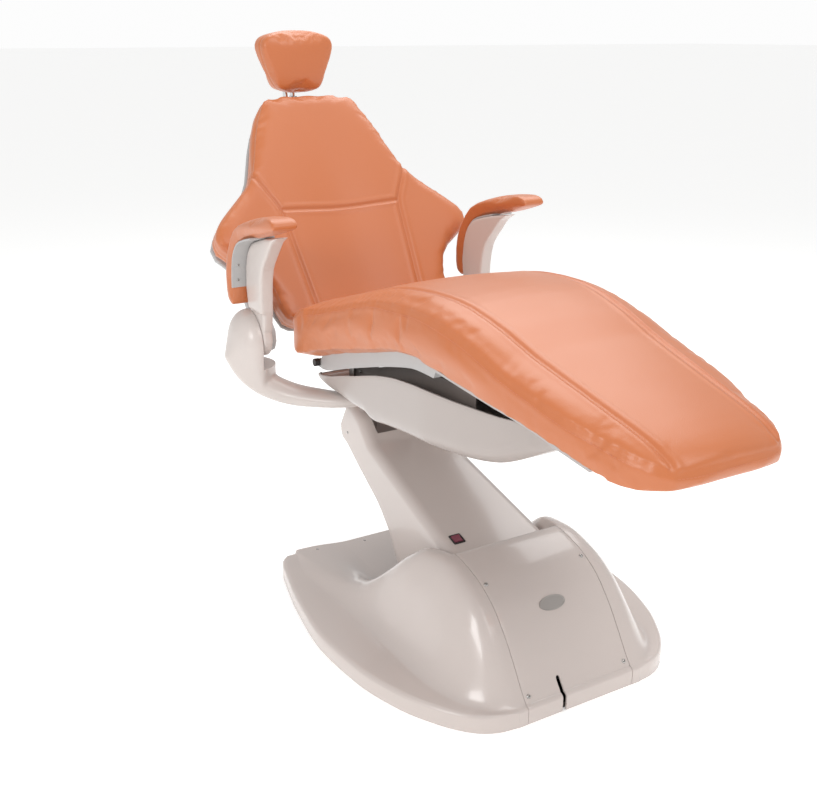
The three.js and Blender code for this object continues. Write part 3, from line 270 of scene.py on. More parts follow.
def gloss_abs(name, light, shade, roughness=0.24):
    material, tree, shader = new_material(name)
    place = node(tree, "ShaderNodeTexCoord").outputs["Object"]
    drift = node(tree, "ShaderNodeTexNoise", {"Vector": place, "Scale": 1.6, "Detail": 1.0})
    mix = node(tree, "ShaderNodeMix", {0: drift.outputs["Fac"], 6: linear(light), 7: linear(shade)},
               data_type="RGBA")
    tree.links.new(mix.outputs[2], shader.inputs["Base Color"])
    scuff = node(tree, "ShaderNodeTexNoise", {"Vector": place, "Scale": 9.0, "Detail": 2.0})
    gloss = node(tree, "ShaderNodeMapRange", {"Value": scuff.outputs["Fac"], "From Min": 0.3, "From Max": 0.7,
                                              "To Min": roughness - 0.02, "To Max": roughness + 0.02})
    tree.links.new(gloss.outputs["Result"], shader.inputs["Roughness"])
    peel = node(tree, "ShaderNodeTexNoise", {"Vector": place, "Scale": 165.0, "Detail": 1.0})
    bump = node(tree, "ShaderNodeBump", {"Height": peel.outputs["Fac"], "Strength": 0.045, "Distance": 0.002})
    tree.links.new(bump.outputs["Normal"], shader.inputs["Normal"])
    shader.inputs["IOR"].default_value = 1.53
    shader.inputs["Coat Weight"].default_value = 0.35
    shader.inputs["Coat Roughness"].default_value = 0.08
    return material


base_abs = gloss_abs("gloss_abs_warm_white", SHELL_GLOSS, SHELL_SHADE)


def finished(piece, material, body, slot, *nodes):
    """Gives a piece its material and the body it rides on, and hides the nodes it stands for; the slot is not used.
    """
    piece.data.materials.clear()
    piece.data.materials.append(material)
    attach(piece, body)
    if nodes:
        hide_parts(*nodes)
    return piece


# The slot for the mains cable is cut up through the rim and the cover's foot, with a round upper end.
SLOT_X, SLOT_HALF, SLOT_TOP = -42, 4.5, 60
slot_outline = [(SLOT_X - SLOT_HALF, -10), (SLOT_X + SLOT_HALF, -10)] + [
    (SLOT_X + SLOT_HALF * math.cos(a), SLOT_TOP + SLOT_HALF * math.sin(a)) for a in np.linspace(0, math.pi, 12)]


def drawn_out(name, outline, place_at, ends):
    """A closed prism: an outline of pairs between two ends, with place_at(a, b, end) giving each corner."""
    count = len(outline)
    vertices = [place_at(a, b, end) for end in ends for a, b in outline]
    faces = [tuple(range(count)), tuple(range(2 * count - 1, count - 1, -1))]
    faces += [(i, (i + 1) % count, count + (i + 1) % count, count + i) for i in range(count)]
    made = new_piece(name, vertices, faces)
    shape = bmesh.new()
    shape.from_mesh(made.data)
    bmesh.ops.recalc_face_normals(shape, faces=shape.faces)
    shape.to_mesh(made.data)
    shape.free()
    return made


def cut_away(piece, *tools):
    """Cuts closed tools out of a piece, then throws the tools away."""
    for tool in tools:
        baked(piece, ("BOOLEAN", {"operation": "DIFFERENCE", "solver": "EXACT", "object": tool}))
        bpy.data.objects.remove(tool)
    piece.data.set_sharp_from_angle(angle=math.radians(40))
    return piece


cut_away(cover_piece, drawn_out("slot_tool", slot_outline, lambda x, z, y: (x, y, z),
                                (front - 20, front + 80)))
finished(base_piece, base_abs, "base", "shell_gloss", "base_shell")
finished(cover_piece, base_abs, "base", "shell_gloss", "front_cover")

# ---------- screws ---------- Small cross-recess pan-head screws of bright zinc hold the cover, the arm
# cover, the flange and the armrest pads. Each head is a turned dome with the recess pressed in; one tree
# sets them on points that carry their direction.
SCREW_RINGS = [(0, 0.62), (0.16, 0.62), (0.32, 0.6), (0.46, 0.56), (0.56, 0.52), (0.74, 0.44), (0.9, 0.28),
               (1, 0.1), (1, -0.6)]
SCREW_SIDES, RECESS_REACH, RECESS_DEPTH = 24, 0.5, 0.34


def screw_pattern(name):
    rows = []
    for reach, height in SCREW_RINGS:
        row = []
        for k in range(SCREW_SIDES):
            angle = 2 * math.pi * k / SCREW_SIDES
            recess = RECESS_DEPTH if (k % 6 == 0 or reach < 0.2) and reach < RECESS_REACH else 0
            row.append((reach * math.cos(angle) / MM, reach * math.sin(angle) / MM, (height - recess) / MM))
        rows.append(row)
    made = grid_piece(name, rows[::-1], closed=True)
    made.data.set_sharp_from_angle(angle=math.radians(35))
    return made


def group_tree(name, *sockets):
    """An empty geometry tree with Geometry in and out, and named number inputs with their defaults."""
    tree = bpy.data.node_groups.new(name, "GeometryNodeTree")
    tree.interface.new_socket("Geometry", in_out="INPUT", socket_type="NodeSocketGeometry")
    for label, kind, default in sockets:
        made = tree.interface.new_socket(label, in_out="INPUT", socket_type=kind)
        if default is not None:
            made.default_value = default
    tree.interface.new_socket("Geometry", in_out="OUTPUT", socket_type="NodeSocketGeometry")
    return tree, node(tree, "NodeGroupInput").outputs


def tree_result(piece, tree, **inputs):
    """Runs a tree on a piece with its named inputs and keeps the result as a plain mesh."""
    modifier = piece.modifiers.new(tree.name, "NODES")
    modifier.node_group = tree
    for item in tree.interface.items_tree:
        key = item.name.replace(" ", "_").lower()
        if item.in_out == "INPUT" and key in inputs:
            modifier[item.identifier] = inputs[key]
    return baked(piece)


screw_tree, given = group_tree("screw_row", ("Head", "NodeSocketObject", None),
                               ("Radius", "NodeSocketFloat", 0.004),
                               ("Finish", "NodeSocketMaterial", None))
head = node(screw_tree, "GeometryNodeObjectInfo", {"Object": given["Head"]}, transform_space="ORIGINAL")
direction = node(screw_tree, "GeometryNodeInputNamedAttribute", {"Name": "out"}, data_type="FLOAT_VECTOR")
facing = node(screw_tree, "FunctionNodeAlignRotationToVector",
              {"Vector": direction.outputs["Attribute"]}, axis="Z")
spots = node(screw_tree, "GeometryNodeMeshToPoints", {"Mesh": given["Geometry"]})
heads = node(screw_tree, "GeometryNodeInstanceOnPoints", {
    "Points": spots.outputs[0], "Instance": head.outputs["Geometry"], "Rotation": facing.outputs[0],
    "Scale": given["Radius"]})
real_heads = node(screw_tree, "GeometryNodeRealizeInstances", {"Geometry": heads.outputs[0]})
finish_heads = node(screw_tree, "GeometryNodeSetMaterial", {"Geometry": real_heads.outputs[0],
                                                            "Material": given["Finish"]})
node(screw_tree, "NodeGroupOutput", {"Geometry": finish_heads.outputs[0]})

zinc, tree, shader = new_material("bright_zinc_plated_steel")
shader.inputs["Base Color"].default_value = linear("#B9B7B4")
shader.inputs["Metallic"].default_value = 1
place = node(tree, "ShaderNodeTexCoord").outputs["Object"]
turning = node(tree, "ShaderNodeTexNoise", {"Vector": place, "Scale": 400.0, "Detail": 3.0})
polish = node(tree, "ShaderNodeMapRange", {"Value": turning.outputs["Fac"], "To Min": 0.16, "To Max": 0.36})
tree.links.new(polish.outputs["Result"], shader.inputs["Roughness"])

head_pattern = screw_pattern("screw_head_pattern")


def screws(name, body, radius, places, *nodes):
    """A row of screws, each a point in metres and the direction its head faces."""
    mesh = bpy.data.meshes.new(name)
    mesh.from_pydata([tuple(at) for at, _ in places], [], [])
    direction = mesh.attributes.new("out", "FLOAT_VECTOR", "POINT")
    direction.data.foreach_set("vector", [c for _, out in places for c in out])
    made = bpy.data.objects.new(name, mesh)
    scene.collection.objects.link(made)
    tree_result(made, screw_tree, head=head_pattern, radius=radius * MM, finish=zinc)
    return finished(made, zinc, body, "chrome", *nodes)


def lying_on(piece, point, direction):
    """Where a line through a point meets a piece first, with the surface's direction there."""
    tree = BVHTree.FromObject(piece, bpy.context.evaluated_depsgraph_get())
    start = Vector(point) - Vector(direction).normalized() * 0.3
    at, out, _, _ = tree.ray_cast(start, Vector(direction))
    return at, out


cover_screws = [lying_on(cover_piece, (side * x * MM, y * MM, 0.1), (0, 0, -1)) for side in (-1, 1)
                for x, y in ((118, -258), (117, -408))]
screws("front_cover_screws", "base", 4.6, cover_screws, "cover_screw_right_1", "cover_screw_right_2",
       "cover_screw_left_1", "cover_screw_left_2")
flange_screws = [lying_on(base_piece, (x * MM, 340 * MM, 0.1), (0, 0, -1)) for x in (-205, -75, 75, 205)]
screws("flange_screws", "base", 3.2, flange_screws)

# ---------- front badge ----------
# A plain oval plate of brushed aluminium with a raised rim, glued to the middle of the cover, without
# lettering.
BADGE_Y, BADGE_HALF_LENGTH, BADGE_HALF_HEIGHT = -318, 31, 15
badge_at, badge_out = lying_on(cover_piece, (0, BADGE_Y * MM, 0.1), (0, 0, -1))
badge_turn = badge_out.to_track_quat("Z", "Y")
badge_rows = []
for reach, height in ((1, -0.6), (1, 0.9), (0.96, 1.3), (0.9, 1.3), (0.86, 0.7), (0.5, 0.7), (0.01, 0.7)):
    row = []
    for k in range(48):
        angle = 2 * math.pi * k / 48
        inset = (1 - reach) * BADGE_HALF_HEIGHT
        wide = BADGE_HALF_LENGTH - inset if reach > 0.5 else reach * 30
        high = BADGE_HALF_HEIGHT - inset if reach > 0.5 else reach * 14
        flat = Vector((wide * math.cos(angle), high * math.sin(angle),
                       height))
        row.append(tuple(badge_at / MM + badge_turn @ flat))
    badge_rows.append(row)
badge_piece = grid_piece("oval_badge", badge_rows, closed=True)
badge_piece.data.set_sharp_from_angle(angle=math.radians(40))
aluminium, tree, shader = new_material("brushed_aluminium")
shader.inputs["Base Color"].default_value = linear("#A9A4A0")
shader.inputs["Metallic"].default_value = 0.55
place = node(tree, "ShaderNodeTexCoord").outputs["Object"]
drawn = node(tree, "ShaderNodeMapping", {"Vector": place, "Scale": (6, 900, 900)})
brushing = node(tree, "ShaderNodeTexNoise", {"Vector": drawn.outputs[0], "Scale": 1.0, "Detail": 2.0})
polish = node(tree, "ShaderNodeMapRange", {"Value": brushing.outputs["Fac"], "To Min": 0.25, "To Max": 0.5})
tree.links.new(polish.outputs["Result"], shader.inputs["Roughness"])
finished(badge_piece, aluminium, "base", "chrome", "cover_badge")

# ---------- arm cover ---------- One gloss ABS hood over the lift beam: a round nose about the lower pivot,
# a flat top that runs up to the carriage, sides that draw in towards the upper end, and generously rounded
# long edges.
ARM_AT, ARM_ANGLE = (-100, 105), math.radians(26)
NOSE, ARM_END, TOP_SLOPE = 120, 561, math.radians(10.6)
HOOD_HALF_LOW, HOOD_HALF_HIGH, HOOD_EDGE = 122, 96, 24
HOOD_HEM = [[-90, -20], [-62, -52], [-40, -70], [20, -88], [90, -96], [132, -96], [174, -94], [250, -60],
            [333, -46], [429, -47], [506, -45], [537, -49], [555, -38], [561, -28]]
CHEEK_RISE = [[408, 0], [453, 15], [493, 32], [547, 38], [561, 31]]
HOOD_OPENING, HOOD_OPENING_FROM = 69, 441
SWITCH_FROM, SWITCH_TO, SWITCH_LOW, SWITCH_HIGH = -91.5, -69, 50.7, 73.3


def in_arm(x, y, z):
    """A place in the arm's own frame, y along the arm, as a place in the chair."""
    return (x, ARM_AT[0] + y * math.cos(ARM_ANGLE) - z * math.sin(ARM_ANGLE),
            ARM_AT[1] + y * math.sin(ARM_ANGLE) + z * math.cos(ARM_ANGLE))


def hood_half(y):
    share = min(max((y - 40) / (ARM_END + 5 - 40), 0), 1)
    return HOOD_HALF_LOW + (HOOD_HALF_HIGH - HOOD_HALF_LOW) * share


nose_from, nose_to = math.radians(168), math.pi / 2 - TOP_SLOPE
spine = []
for share in np.linspace(0, 1, 34):
    angle = nose_from + (nose_to - nose_from) * share
    spine.append((NOSE * math.cos(angle), NOSE * math.sin(angle), -math.cos(angle), -math.sin(angle),
                  -90 + (NOSE * math.cos(nose_to) + 90) * share))
hood_ys = sorted({*np.linspace(24, ARM_END, 66).round(2), SWITCH_LOW, SWITCH_HIGH, HOOD_OPENING_FROM})
for y in hood_ys:
    spine.append((y, (NOSE - y * math.sin(TOP_SLOPE)) / math.cos(TOP_SLOPE) + table_value(CHEEK_RISE, y),
                  -math.sin(TOP_SLOPE), -math.cos(TOP_SLOPE), y))
hood_rows = []
for y, z, inward_y, inward_z, hem_y in spine:
    half = hood_half(y)
    edge = min(HOOD_EDGE, 0.42 * (z - table_value(HOOD_HEM, hem_y))) if y > 0 else HOOD_EDGE
    flat = half - edge
    right = [(x, 0) for x in (0, 23, 46, HOOD_OPENING, min(-SWITCH_FROM, flat - 1))]
    right += [(flat + edge * math.sin(a), edge * (1 - math.cos(a))) for a in np.linspace(0, math.pi / 2, 9)]
    row = [(x, y + inward_y * depth, z + inward_z * depth) for x, depth in right]
    start, hem = row[-1], (hem_y, table_value(HOOD_HEM, hem_y))
    for share in np.linspace(0, 1, 9)[1:]:
        side_y = start[1] + (hem[0] - start[1]) * share
        row.append((hood_half(side_y), side_y, start[2] + (hem[1] - start[2]) * share))
    hood_rows.append([in_arm(-x, b, c) for x, b, c in row[:0:-1]] + [in_arm(*point) for point in row])


def on_hood_top(x, y, z):
    back = (y - ARM_AT[0]) * math.cos(ARM_ANGLE) + (z - ARM_AT[1]) * math.sin(ARM_ANGLE)
    height = -(y - ARM_AT[0]) * math.sin(ARM_ANGLE) + (z - ARM_AT[1]) * math.cos(ARM_ANGLE)
    return back, height


def hood_kept(x, y, z):
    along, height = on_hood_top(x, y, z)
    if height < 0:
        return True
    if abs(x) < HOOD_OPENING and along > HOOD_OPENING_FROM:
        return False
    return not (SWITCH_FROM < x < SWITCH_TO and SWITCH_LOW < along < SWITCH_HIGH and height > NOSE - 30)


hood = baked(grid_piece("arm_cover_moulding", hood_rows, hood_kept), *wall(SHELL_WALL))
finished(hood, base_abs, "lift_arm", "shell_gloss", "arm_cover")
hood_screws = [lying_on(hood, (side * 0.2, *[c * MM for c in in_arm(0, 520, -18)[1:]]), (-side, 0, 0))
               for side in (-1, 1)]
screws("arm_cover_screws", "lift_arm", 3.4, [s for s in hood_screws if s[0]])

# ---------- power switch ----------
# A lit rocker in dark red polycarbonate, in a black snap-in frame with a raised rounded rim.
switch_turn = Matrix.Rotation(ARM_ANGLE - TOP_SLOPE, 3, "X")
switch_along = 62
switch_rise = (NOSE - switch_along * math.sin(TOP_SLOPE)) / math.cos(TOP_SLOPE)
switch_at = Vector(in_arm(-80, switch_along, switch_rise))


def rounded_square(half, corner, count=5):
    """The outline of a square with round corners, in millimetres."""
    points = []
    for k, (sx, sy) in enumerate(((1, 1), (-1, 1), (-1, -1), (1, -1))):
        for a in np.linspace(k * math.pi / 2, (k + 1) * math.pi / 2, count):
            points.append((sx * (half - corner) + corner * math.cos(a), sy * (half - corner) + corner * math.sin(a)))
    return points


frame_rows = []
for half, corner, height in ((14, 3, 0.2), (14, 3, 1.4), (13.5, 2.6, 2.0), (11.6, 1.6, 2.0), (10.9, 1, 1.4),
                             (10.8, 1, -9), (0.2, 0.1, -9)):
    frame_rows.append([tuple(switch_at + switch_turn @ Vector((x, y, height)))
                       for x, y in rounded_square(half, corner)])
switch_frame = grid_piece("switch_frame", frame_rows, closed=True)
switch_frame.data.set_sharp_from_angle(angle=math.radians(50))
black_nylon, tree, shader = new_material("black_moulded_nylon")
place = node(tree, "ShaderNodeTexCoord").outputs["Object"]
grain = node(tree, "ShaderNodeTexNoise", {"Vector": place, "Scale": 900.0, "Detail": 2.0})
bump = node(tree, "ShaderNodeBump", {"Height": grain.outputs["Fac"], "Strength": 0.12, "Distance": 0.001})
tree.links.new(bump.outputs["Normal"], shader.inputs["Normal"])
shader.inputs["Base Color"].default_value = linear("#2B2727")
shader.inputs["Roughness"].default_value = 0.42
finished(switch_frame, black_nylon, "lift_arm", "black_plastic", "switch_bezel")

ROCKER_HALF, ROCKER_LONG, ROCKER_TILT = 10, 9, math.radians(6)
rocker_turn = switch_turn @ Matrix.Rotation(ROCKER_TILT, 3, "X")
rocker_rows = []
for share in np.linspace(-1, 1, 13):
    dip = 1.3 * (1 - share ** 2)
    profile = [(-ROCKER_HALF, -4), (-ROCKER_HALF, 2.4 - dip), (-ROCKER_HALF + 0.7, 3.2 - dip), (0, 3.4 - dip),
               (ROCKER_HALF - 0.7, 3.2 - dip), (ROCKER_HALF, 2.4 - dip), (ROCKER_HALF, -4)]
    rocker_rows.append([tuple(switch_at + rocker_turn @ Vector((x, ROCKER_LONG * share, z)))
                        for x, z in profile])
ends = [[tuple(switch_at + rocker_turn @ Vector((x, side * ROCKER_LONG, -4)))
         for x in np.linspace(-ROCKER_HALF, ROCKER_HALF, 7)] for side in (-1, 1)]
rocker = grid_piece("switch_rocker", [ends[0], *rocker_rows, ends[1]])
rocker.data.set_sharp_from_angle(angle=math.radians(45))
red_polycarbonate, tree, shader = new_material("dark_red_polycarbonate")
place = node(tree, "ShaderNodeTexCoord").outputs["Object"]
tint = node(tree, "ShaderNodeTexNoise", {"Vector": place, "Scale": 260.0, "Detail": 2.0})
mix = node(tree, "ShaderNodeMix", {0: tint.outputs["Fac"], 6: linear("#7A3446"), 7: linear("#8B4456")},
           data_type="RGBA")
tree.links.new(mix.outputs[2], shader.inputs["Base Color"])
shader.inputs["Roughness"].default_value = 0.28
shader.inputs["IOR"].default_value = 1.58
finished(rocker, red_polycarbonate, "switch", "switch_maroon", "power_switch")

# ---------- carriage tub ---------- A boat-shaped ABS moulding under the seat that hides the deck, the tilt
# ram and the wiring. It is open above.
TUB_RIM = [[-362, 566], [-310, 578], [-220, 588], [-125, 590], [-30, 583], [38, 571], [196, 527], [362, 487]]
TUB_KEEL = [[-362, 545], [-335, 512], [-270, 482], [-180, 475], [-60, 468], [60, 455], [104, 448], [135, 456],
            [200, 456], [270, 461], [330, 472], [362, 483]]
TUB_HALF = [[-362, 2], [-356, 40], [-335, 88], [-285, 132], [-200, 165], [-100, 180], [50, 182], [200, 182],
            [300, 181], [352, 178], [362, 168]]
TUB_EDGE = 34
tub_rows = []
tub_steps = sorted({*np.linspace(-362, -335, 14), *np.linspace(-335, -250, 16), *np.linspace(-250, 340, 60),
                    *np.linspace(340, 362, 8)})
for y in tub_steps:
    half, rim, keel = table_value(TUB_HALF, y), table_value(TUB_RIM, y), table_value(TUB_KEEL, y)
    edge = min(TUB_EDGE, 0.8 * half, 0.7 * (rim - keel))
    side = [(half, rim + (keel + edge - rim) * share) for share in np.linspace(0, 1, 9)[:-1]]
    turn = [(half - edge * (1 - math.cos(a)), keel + edge * (1 - math.sin(a))) for a in
            np.linspace(0, math.pi / 2, 9)]
    bottom = [((half - edge) * share, keel) for share in np.linspace(1, 0, 9)[1:]]
    row = [(x, y, z) for x, z in (*side, *turn, *bottom)]
    tub_rows.append(row + [(-x, b, c) for x, b, c in row[-2::-1]])
tub_rows = tub_rows[::-1]
tub_rows.insert(0, [(x, 362.5, 485 + (z - 485) * 0.02) for x, y, z in tub_rows[0]])
tub = baked(grid_piece("carriage_tub", tub_rows), *wall(4, 1.2))
tub_room = drawn_out("ear_tool", [(-61, 284), (61, 284), (61, 394), (-61, 394)], lambda x, y, z: (x, y, z),
                     (430, 500))
cut_away(tub, tub_room)
tub_abs = gloss_abs("gloss_abs_cool_grey", "#B3A9A4", "#AFA5A0", 0.3)
finished(tub, tub_abs, "carriage", "tub_gloss", "carriage_cover")

# ---------- yokes ----------
# Two die-cast horns, powder coated to match, curve out of the tub and up to a round housing at each hub.
YOKE_LINE = [[95, 262, 441], [150, 286, 438], [195, 330, 437], [240, 382, 440], [284, 426, 460],
             [312, 456, 494], [326, 466, 536]]
YOKE_SECTION = [[26, 14], [30, 17], [33, 21], [35, 25], [37, 29], [37, 35], [36, 42]]
HUB_Y, HUB_Z = 430, 575
HOUSING_AT, HOUSING_RADIUS, HOUSING_BULGE = (302, 460, 557), 77, 50
ELBOW_ROWS = slice(27, None)


def spline(points, steps):
    """Points on a smooth line through the given ones, the same number in each span."""
    points = [np.array(p, float) for p in points]
    padded = [2 * points[0] - points[1], *points, 2 * points[-1] - points[-2]]
    line = []
    for a, b, c, d in zip(padded, padded[1:], padded[2:], padded[3:]):
        for t in np.linspace(0, 1, steps, endpoint=False):
            line.append(0.5 * (2 * b + (c - a) * t + (2 * a - 5 * b + 4 * c - d) * t * t
                               + (3 * b - a - 3 * c + d) * t ** 3))
    return [*line, points[-1]]


def closed_ends(rows):
    """Rows round a bar, with a row drawn together in the middle of each end."""
    middles = [tuple(np.mean(row, axis=0)) for row in (rows[0], rows[-1])]
    sides = len(rows[0])
    return [[middles[0]] * sides, *rows, [middles[1]] * sides]


def mended(piece):
    """Merges doubles and points the faces outwards."""
    shape = bmesh.new()
    shape.from_mesh(piece.data)
    bmesh.ops.remove_doubles(shape, verts=shape.verts, dist=0.01 * MM)
    bmesh.ops.recalc_face_normals(shape, faces=shape.faces)
    shape.to_mesh(piece.data)
    shape.free()
    return piece


def remeshed(piece, voxel, rounds, factor=0.5):
    """Turns crossing closed forms into one skin with softened joins, as a casting or a moulding has."""
    return baked(piece, ("REMESH", {"mode": "VOXEL", "voxel_size": voxel * MM, "use_smooth_shade": True}),
                 ("SMOOTH", {"factor": factor, "iterations": rounds}))


def merged(first, *others):
    """Joins meshes into the first one."""
    shape = bmesh.new()
    for each in (first, *others):
        shape.from_mesh(each.data)
    mesh = bpy.data.meshes.new(first.name)
    shape.to_mesh(mesh)
    shape.free()
    first.data = mesh
    for other in others:
        bpy.data.objects.remove(other)
    return first


def wrapped(name, points):
    """The tightest skin round a set of points in millimetres."""
    made = new_piece(name, [], [])
    shape = bmesh.new()
    for point in points:
        shape.verts.new(point * MM)
    hull = bmesh.ops.convex_hull(shape, input=shape.verts)
    bmesh.ops.delete(shape, geom=list({*hull["geom_interior"], *hull["geom_unused"]}), context="VERTS")
    shape.to_mesh(made.data)
    shape.free()
    return made


def powder_coat(name, colour, shade):
    """Smooth powder coat: a warm off-white film with a soft gloss and a faint ripple, drawn at about 5 mm."""
    material, tree, shader = new_material(name)
    place = node(tree, "ShaderNodeTexCoord").outputs["Object"]
    drift = node(tree, "ShaderNodeTexNoise", {"Vector": place, "Scale": 5.0, "Detail": 2.0})
    mix = node(tree, "ShaderNodeMix", {0: drift.outputs["Fac"], 6: linear(colour), 7: linear(shade)},
               data_type="RGBA")
    tree.links.new(mix.outputs[2], shader.inputs["Base Color"])
    ripple = node(tree, "ShaderNodeTexNoise", {"Vector": place, "Scale": 200.0, "Detail": 2.0})
    bump = node(tree, "ShaderNodeBump",
                {"Height": ripple.outputs["Fac"], "Strength": 0.06, "Distance": 0.002})
    tree.links.new(bump.outputs["Normal"], shader.inputs["Normal"])
    shader.inputs["Roughness"].default_value = 0.32
    shader.inputs["Coat Weight"].default_value = 0.25
    shader.inputs["Coat Roughness"].default_value = 0.12
    return material


coat = powder_coat("powder_coat_warm_white", "#D6CCC7", "#CBC1BB")
for side_name, sign in (("right", -1), ("left", 1)):
    line = spline(YOKE_LINE, 7)
    sections = spline(YOKE_SECTION, 7)
    horn_rows = []
    for i, at in enumerate(line):
        along = Vector(line[min(i + 1, len(line) - 1)] - line[max(i - 1, 0)]).normalized()
        across = Vector((0, 0, 1)).cross(along).normalized()
        up = along.cross(across)
        horn_rows.append([tuple((sign * p.x, p.y, p.z)) for p in (
            Vector(at) + across * (sections[i][0] * math.cos(a)) + up * (sections[i][1] * math.sin(a))
            for a in np.linspace(0, 2 * math.pi, 28, endpoint=False))])
    horn = mended(grid_piece(f"yoke_casting_{side_name}", closed_ends(horn_rows), closed=True))
    dome_rows = []
    for tilt in np.linspace(0.001, math.pi - 0.001, 25):
        dome_rows.append([(sign * (HOUSING_AT[0] + HOUSING_BULGE * math.cos(tilt)),
                           HOUSING_AT[1] + HOUSING_RADIUS * math.sin(tilt) * math.cos(a),
                           HOUSING_AT[2] + HOUSING_RADIUS * math.sin(tilt) * math.sin(a))
                          for a in np.linspace(0, 2 * math.pi, 36, endpoint=False)])
    dome = mended(grid_piece("housing_dome", dome_rows, closed=True))
    elbow = [Vector(point) for row in horn_rows[ELBOW_ROWS] for point in row]
    swell = wrapped("housing_swell", [Vector(point) for row in dome_rows for point in row] + elbow)
    yoke = remeshed(merged(horn, swell), 2.6, 22, 0.6)
    bpy.data.objects.remove(dome)
    inside = drawn_out("housing_tool", [(HUB_Y - 70, HUB_Z - 70), (HUB_Y + 200, HUB_Z - 70),
                                        (HUB_Y + 200, HUB_Z + 200), (HUB_Y - 70, HUB_Z + 200)],
                       lambda y, z, x, sign=sign: (sign * x, y, z), (0, HOUSING_AT[0]))
    disc_room = drawn_out("disc_tool", [(HUB_Y + 48 * math.cos(a), HUB_Z + 48 * math.sin(a)) for a in
                                        np.linspace(0, 2 * math.pi, 48, endpoint=False)],
                          lambda y, z, x, sign=sign: (sign * x, y, z), (200, HOUSING_AT[0]))
    cut_away(yoke, inside, disc_room)
    finished(yoke, coat, "carriage", "shell_gloss", f"yoke_{side_name}")

# ---------- seat pan and toe board ----------
# A vacuum-formed grey ABS pan under the seat with a stiff board towards the toe; its satin finish is made here.
def cad_copy(node_name, name):
    """A smooth-shaded piece with a CAD node's own shape, its loose triangles merged into one skin."""
    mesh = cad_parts[node_name].data.copy()
    mesh.name = name
    made = bpy.data.objects.new(name, mesh)
    scene.collection.objects.link(made)
    shape = bmesh.new()
    shape.from_mesh(mesh)
    bmesh.ops.remove_doubles(shape, verts=shape.verts, dist=0.02 * MM)
    bmesh.ops.dissolve_limit(shape, angle_limit=math.radians(0.6), verts=shape.verts, edges=shape.edges)
    shape.to_mesh(mesh)
    shape.free()
    mesh.materials.clear()
    mesh.shade_smooth()
    return made


def softened(piece, width, sharp=40):
    """Broken edges on a plain part, with its faces shaded smooth between them."""
    baked(piece, ("BEVEL", {"width": width * MM, "segments": 2, "limit_method": "ANGLE",
                            "angle_limit": math.radians(sharp)}))
    piece.data.shade_smooth()
    piece.data.set_sharp_from_angle(angle=math.radians(sharp))
    return piece


def satin_abs(name, colour, roughness):
    """Satin ABS: an even moulded colour with a fine spark-eroded grain, drawn at about 1.5 mm."""
    material, tree, shader = new_material(name)
    place = node(tree, "ShaderNodeTexCoord").outputs["Object"]
    grain = node(tree, "ShaderNodeTexVoronoi", {"Vector": place, "Scale": 650.0})
    bump = node(tree, "ShaderNodeBump",
                {"Height": grain.outputs["Distance"], "Strength": 0.1, "Distance": 0.001})
    tree.links.new(bump.outputs["Normal"], shader.inputs["Normal"])
    wear = node(tree, "ShaderNodeTexNoise", {"Vector": place, "Scale": 20.0, "Detail": 5.0})
    gloss = node(tree, "ShaderNodeMapRange", {"Value": wear.outputs["Fac"], "From Min": 0.3, "From Max": 0.7,
                                              "To Min": roughness - 0.06, "To Max": roughness + 0.08})
    tree.links.new(gloss.outputs["Result"], shader.inputs["Roughness"])
    shader.inputs["Base Color"].default_value = linear(colour)
    return material


pan_abs = satin_abs("satin_abs_light_grey", "#B5B3B2", 0.42)

# ---------- seat cushion ---------- Moulded foam under sewn contract vinyl: a long centre panel between two
# side panels, a boxing strip round the edge with a felled seam on top, and a flat underside. It swells
# between the seams and draws in at each of them.
SEAT_HALF = [[-750, 0], [-746, 70], [-732, 118], [-700, 146], [-650, 166], [-600, 180], [-500, 203],
             [-350, 214], [-100, 215], [50, 224], [200, 234], [350, 241], [388, 236], [400, 220]]
SEAT_CROWN = [[-748, 612], [-730, 634], [-690, 650], [-612, 668], [-539, 684], [-396, 718], [-322, 742],
              [-220, 765], [-140, 769], [-66, 765], [11, 754], [114, 727], [229, 690], [334, 659], [396, 634]]
SEAT_UNDER = [[-746, 598], [-731, 588], [-665, 579], [-610, 586], [-512, 613], [-422, 629], [-300, 637],
              [-174, 645], [-100, 652], [-58, 650], [48, 624], [236, 571], [344, 536], [384, 532], [398, 546]]
SEAT_SEAM = [[-740, 634], [-721, 637], [-700, 642], [-650, 649], [-600, 661], [-550, 671], [-500, 684],
             [-450, 696], [-400, 707], [-350, 722], [-300, 736], [-200, 750], [-150, 753], [-100, 751],
             [-50, 746], [11, 744], [114, 720], [229, 685], [334, 654], [397, 636]]
PANEL_SEAM = [[-714, 110], [-500, 124], [-300, 137], [-36, 151], [150, 160], [392, 166]]
SEAT_RISE, SEAT_DROP = 7, 9


def coordinates(piece):
    flat = np.empty(len(piece.data.vertices) * 3)
    piece.data.vertices.foreach_get("co", flat)
    return flat.reshape(-1, 3)


def set_coordinates(piece, points):
    piece.data.vertices.foreach_set("co", points.astype(np.float32).ravel())
    piece.data.update()
    return piece


def directions(piece):
    flat = np.empty(len(piece.data.vertices) * 3)
    piece.data.vertex_normals.foreach_get("vector", flat)
    return flat.reshape(-1, 3)


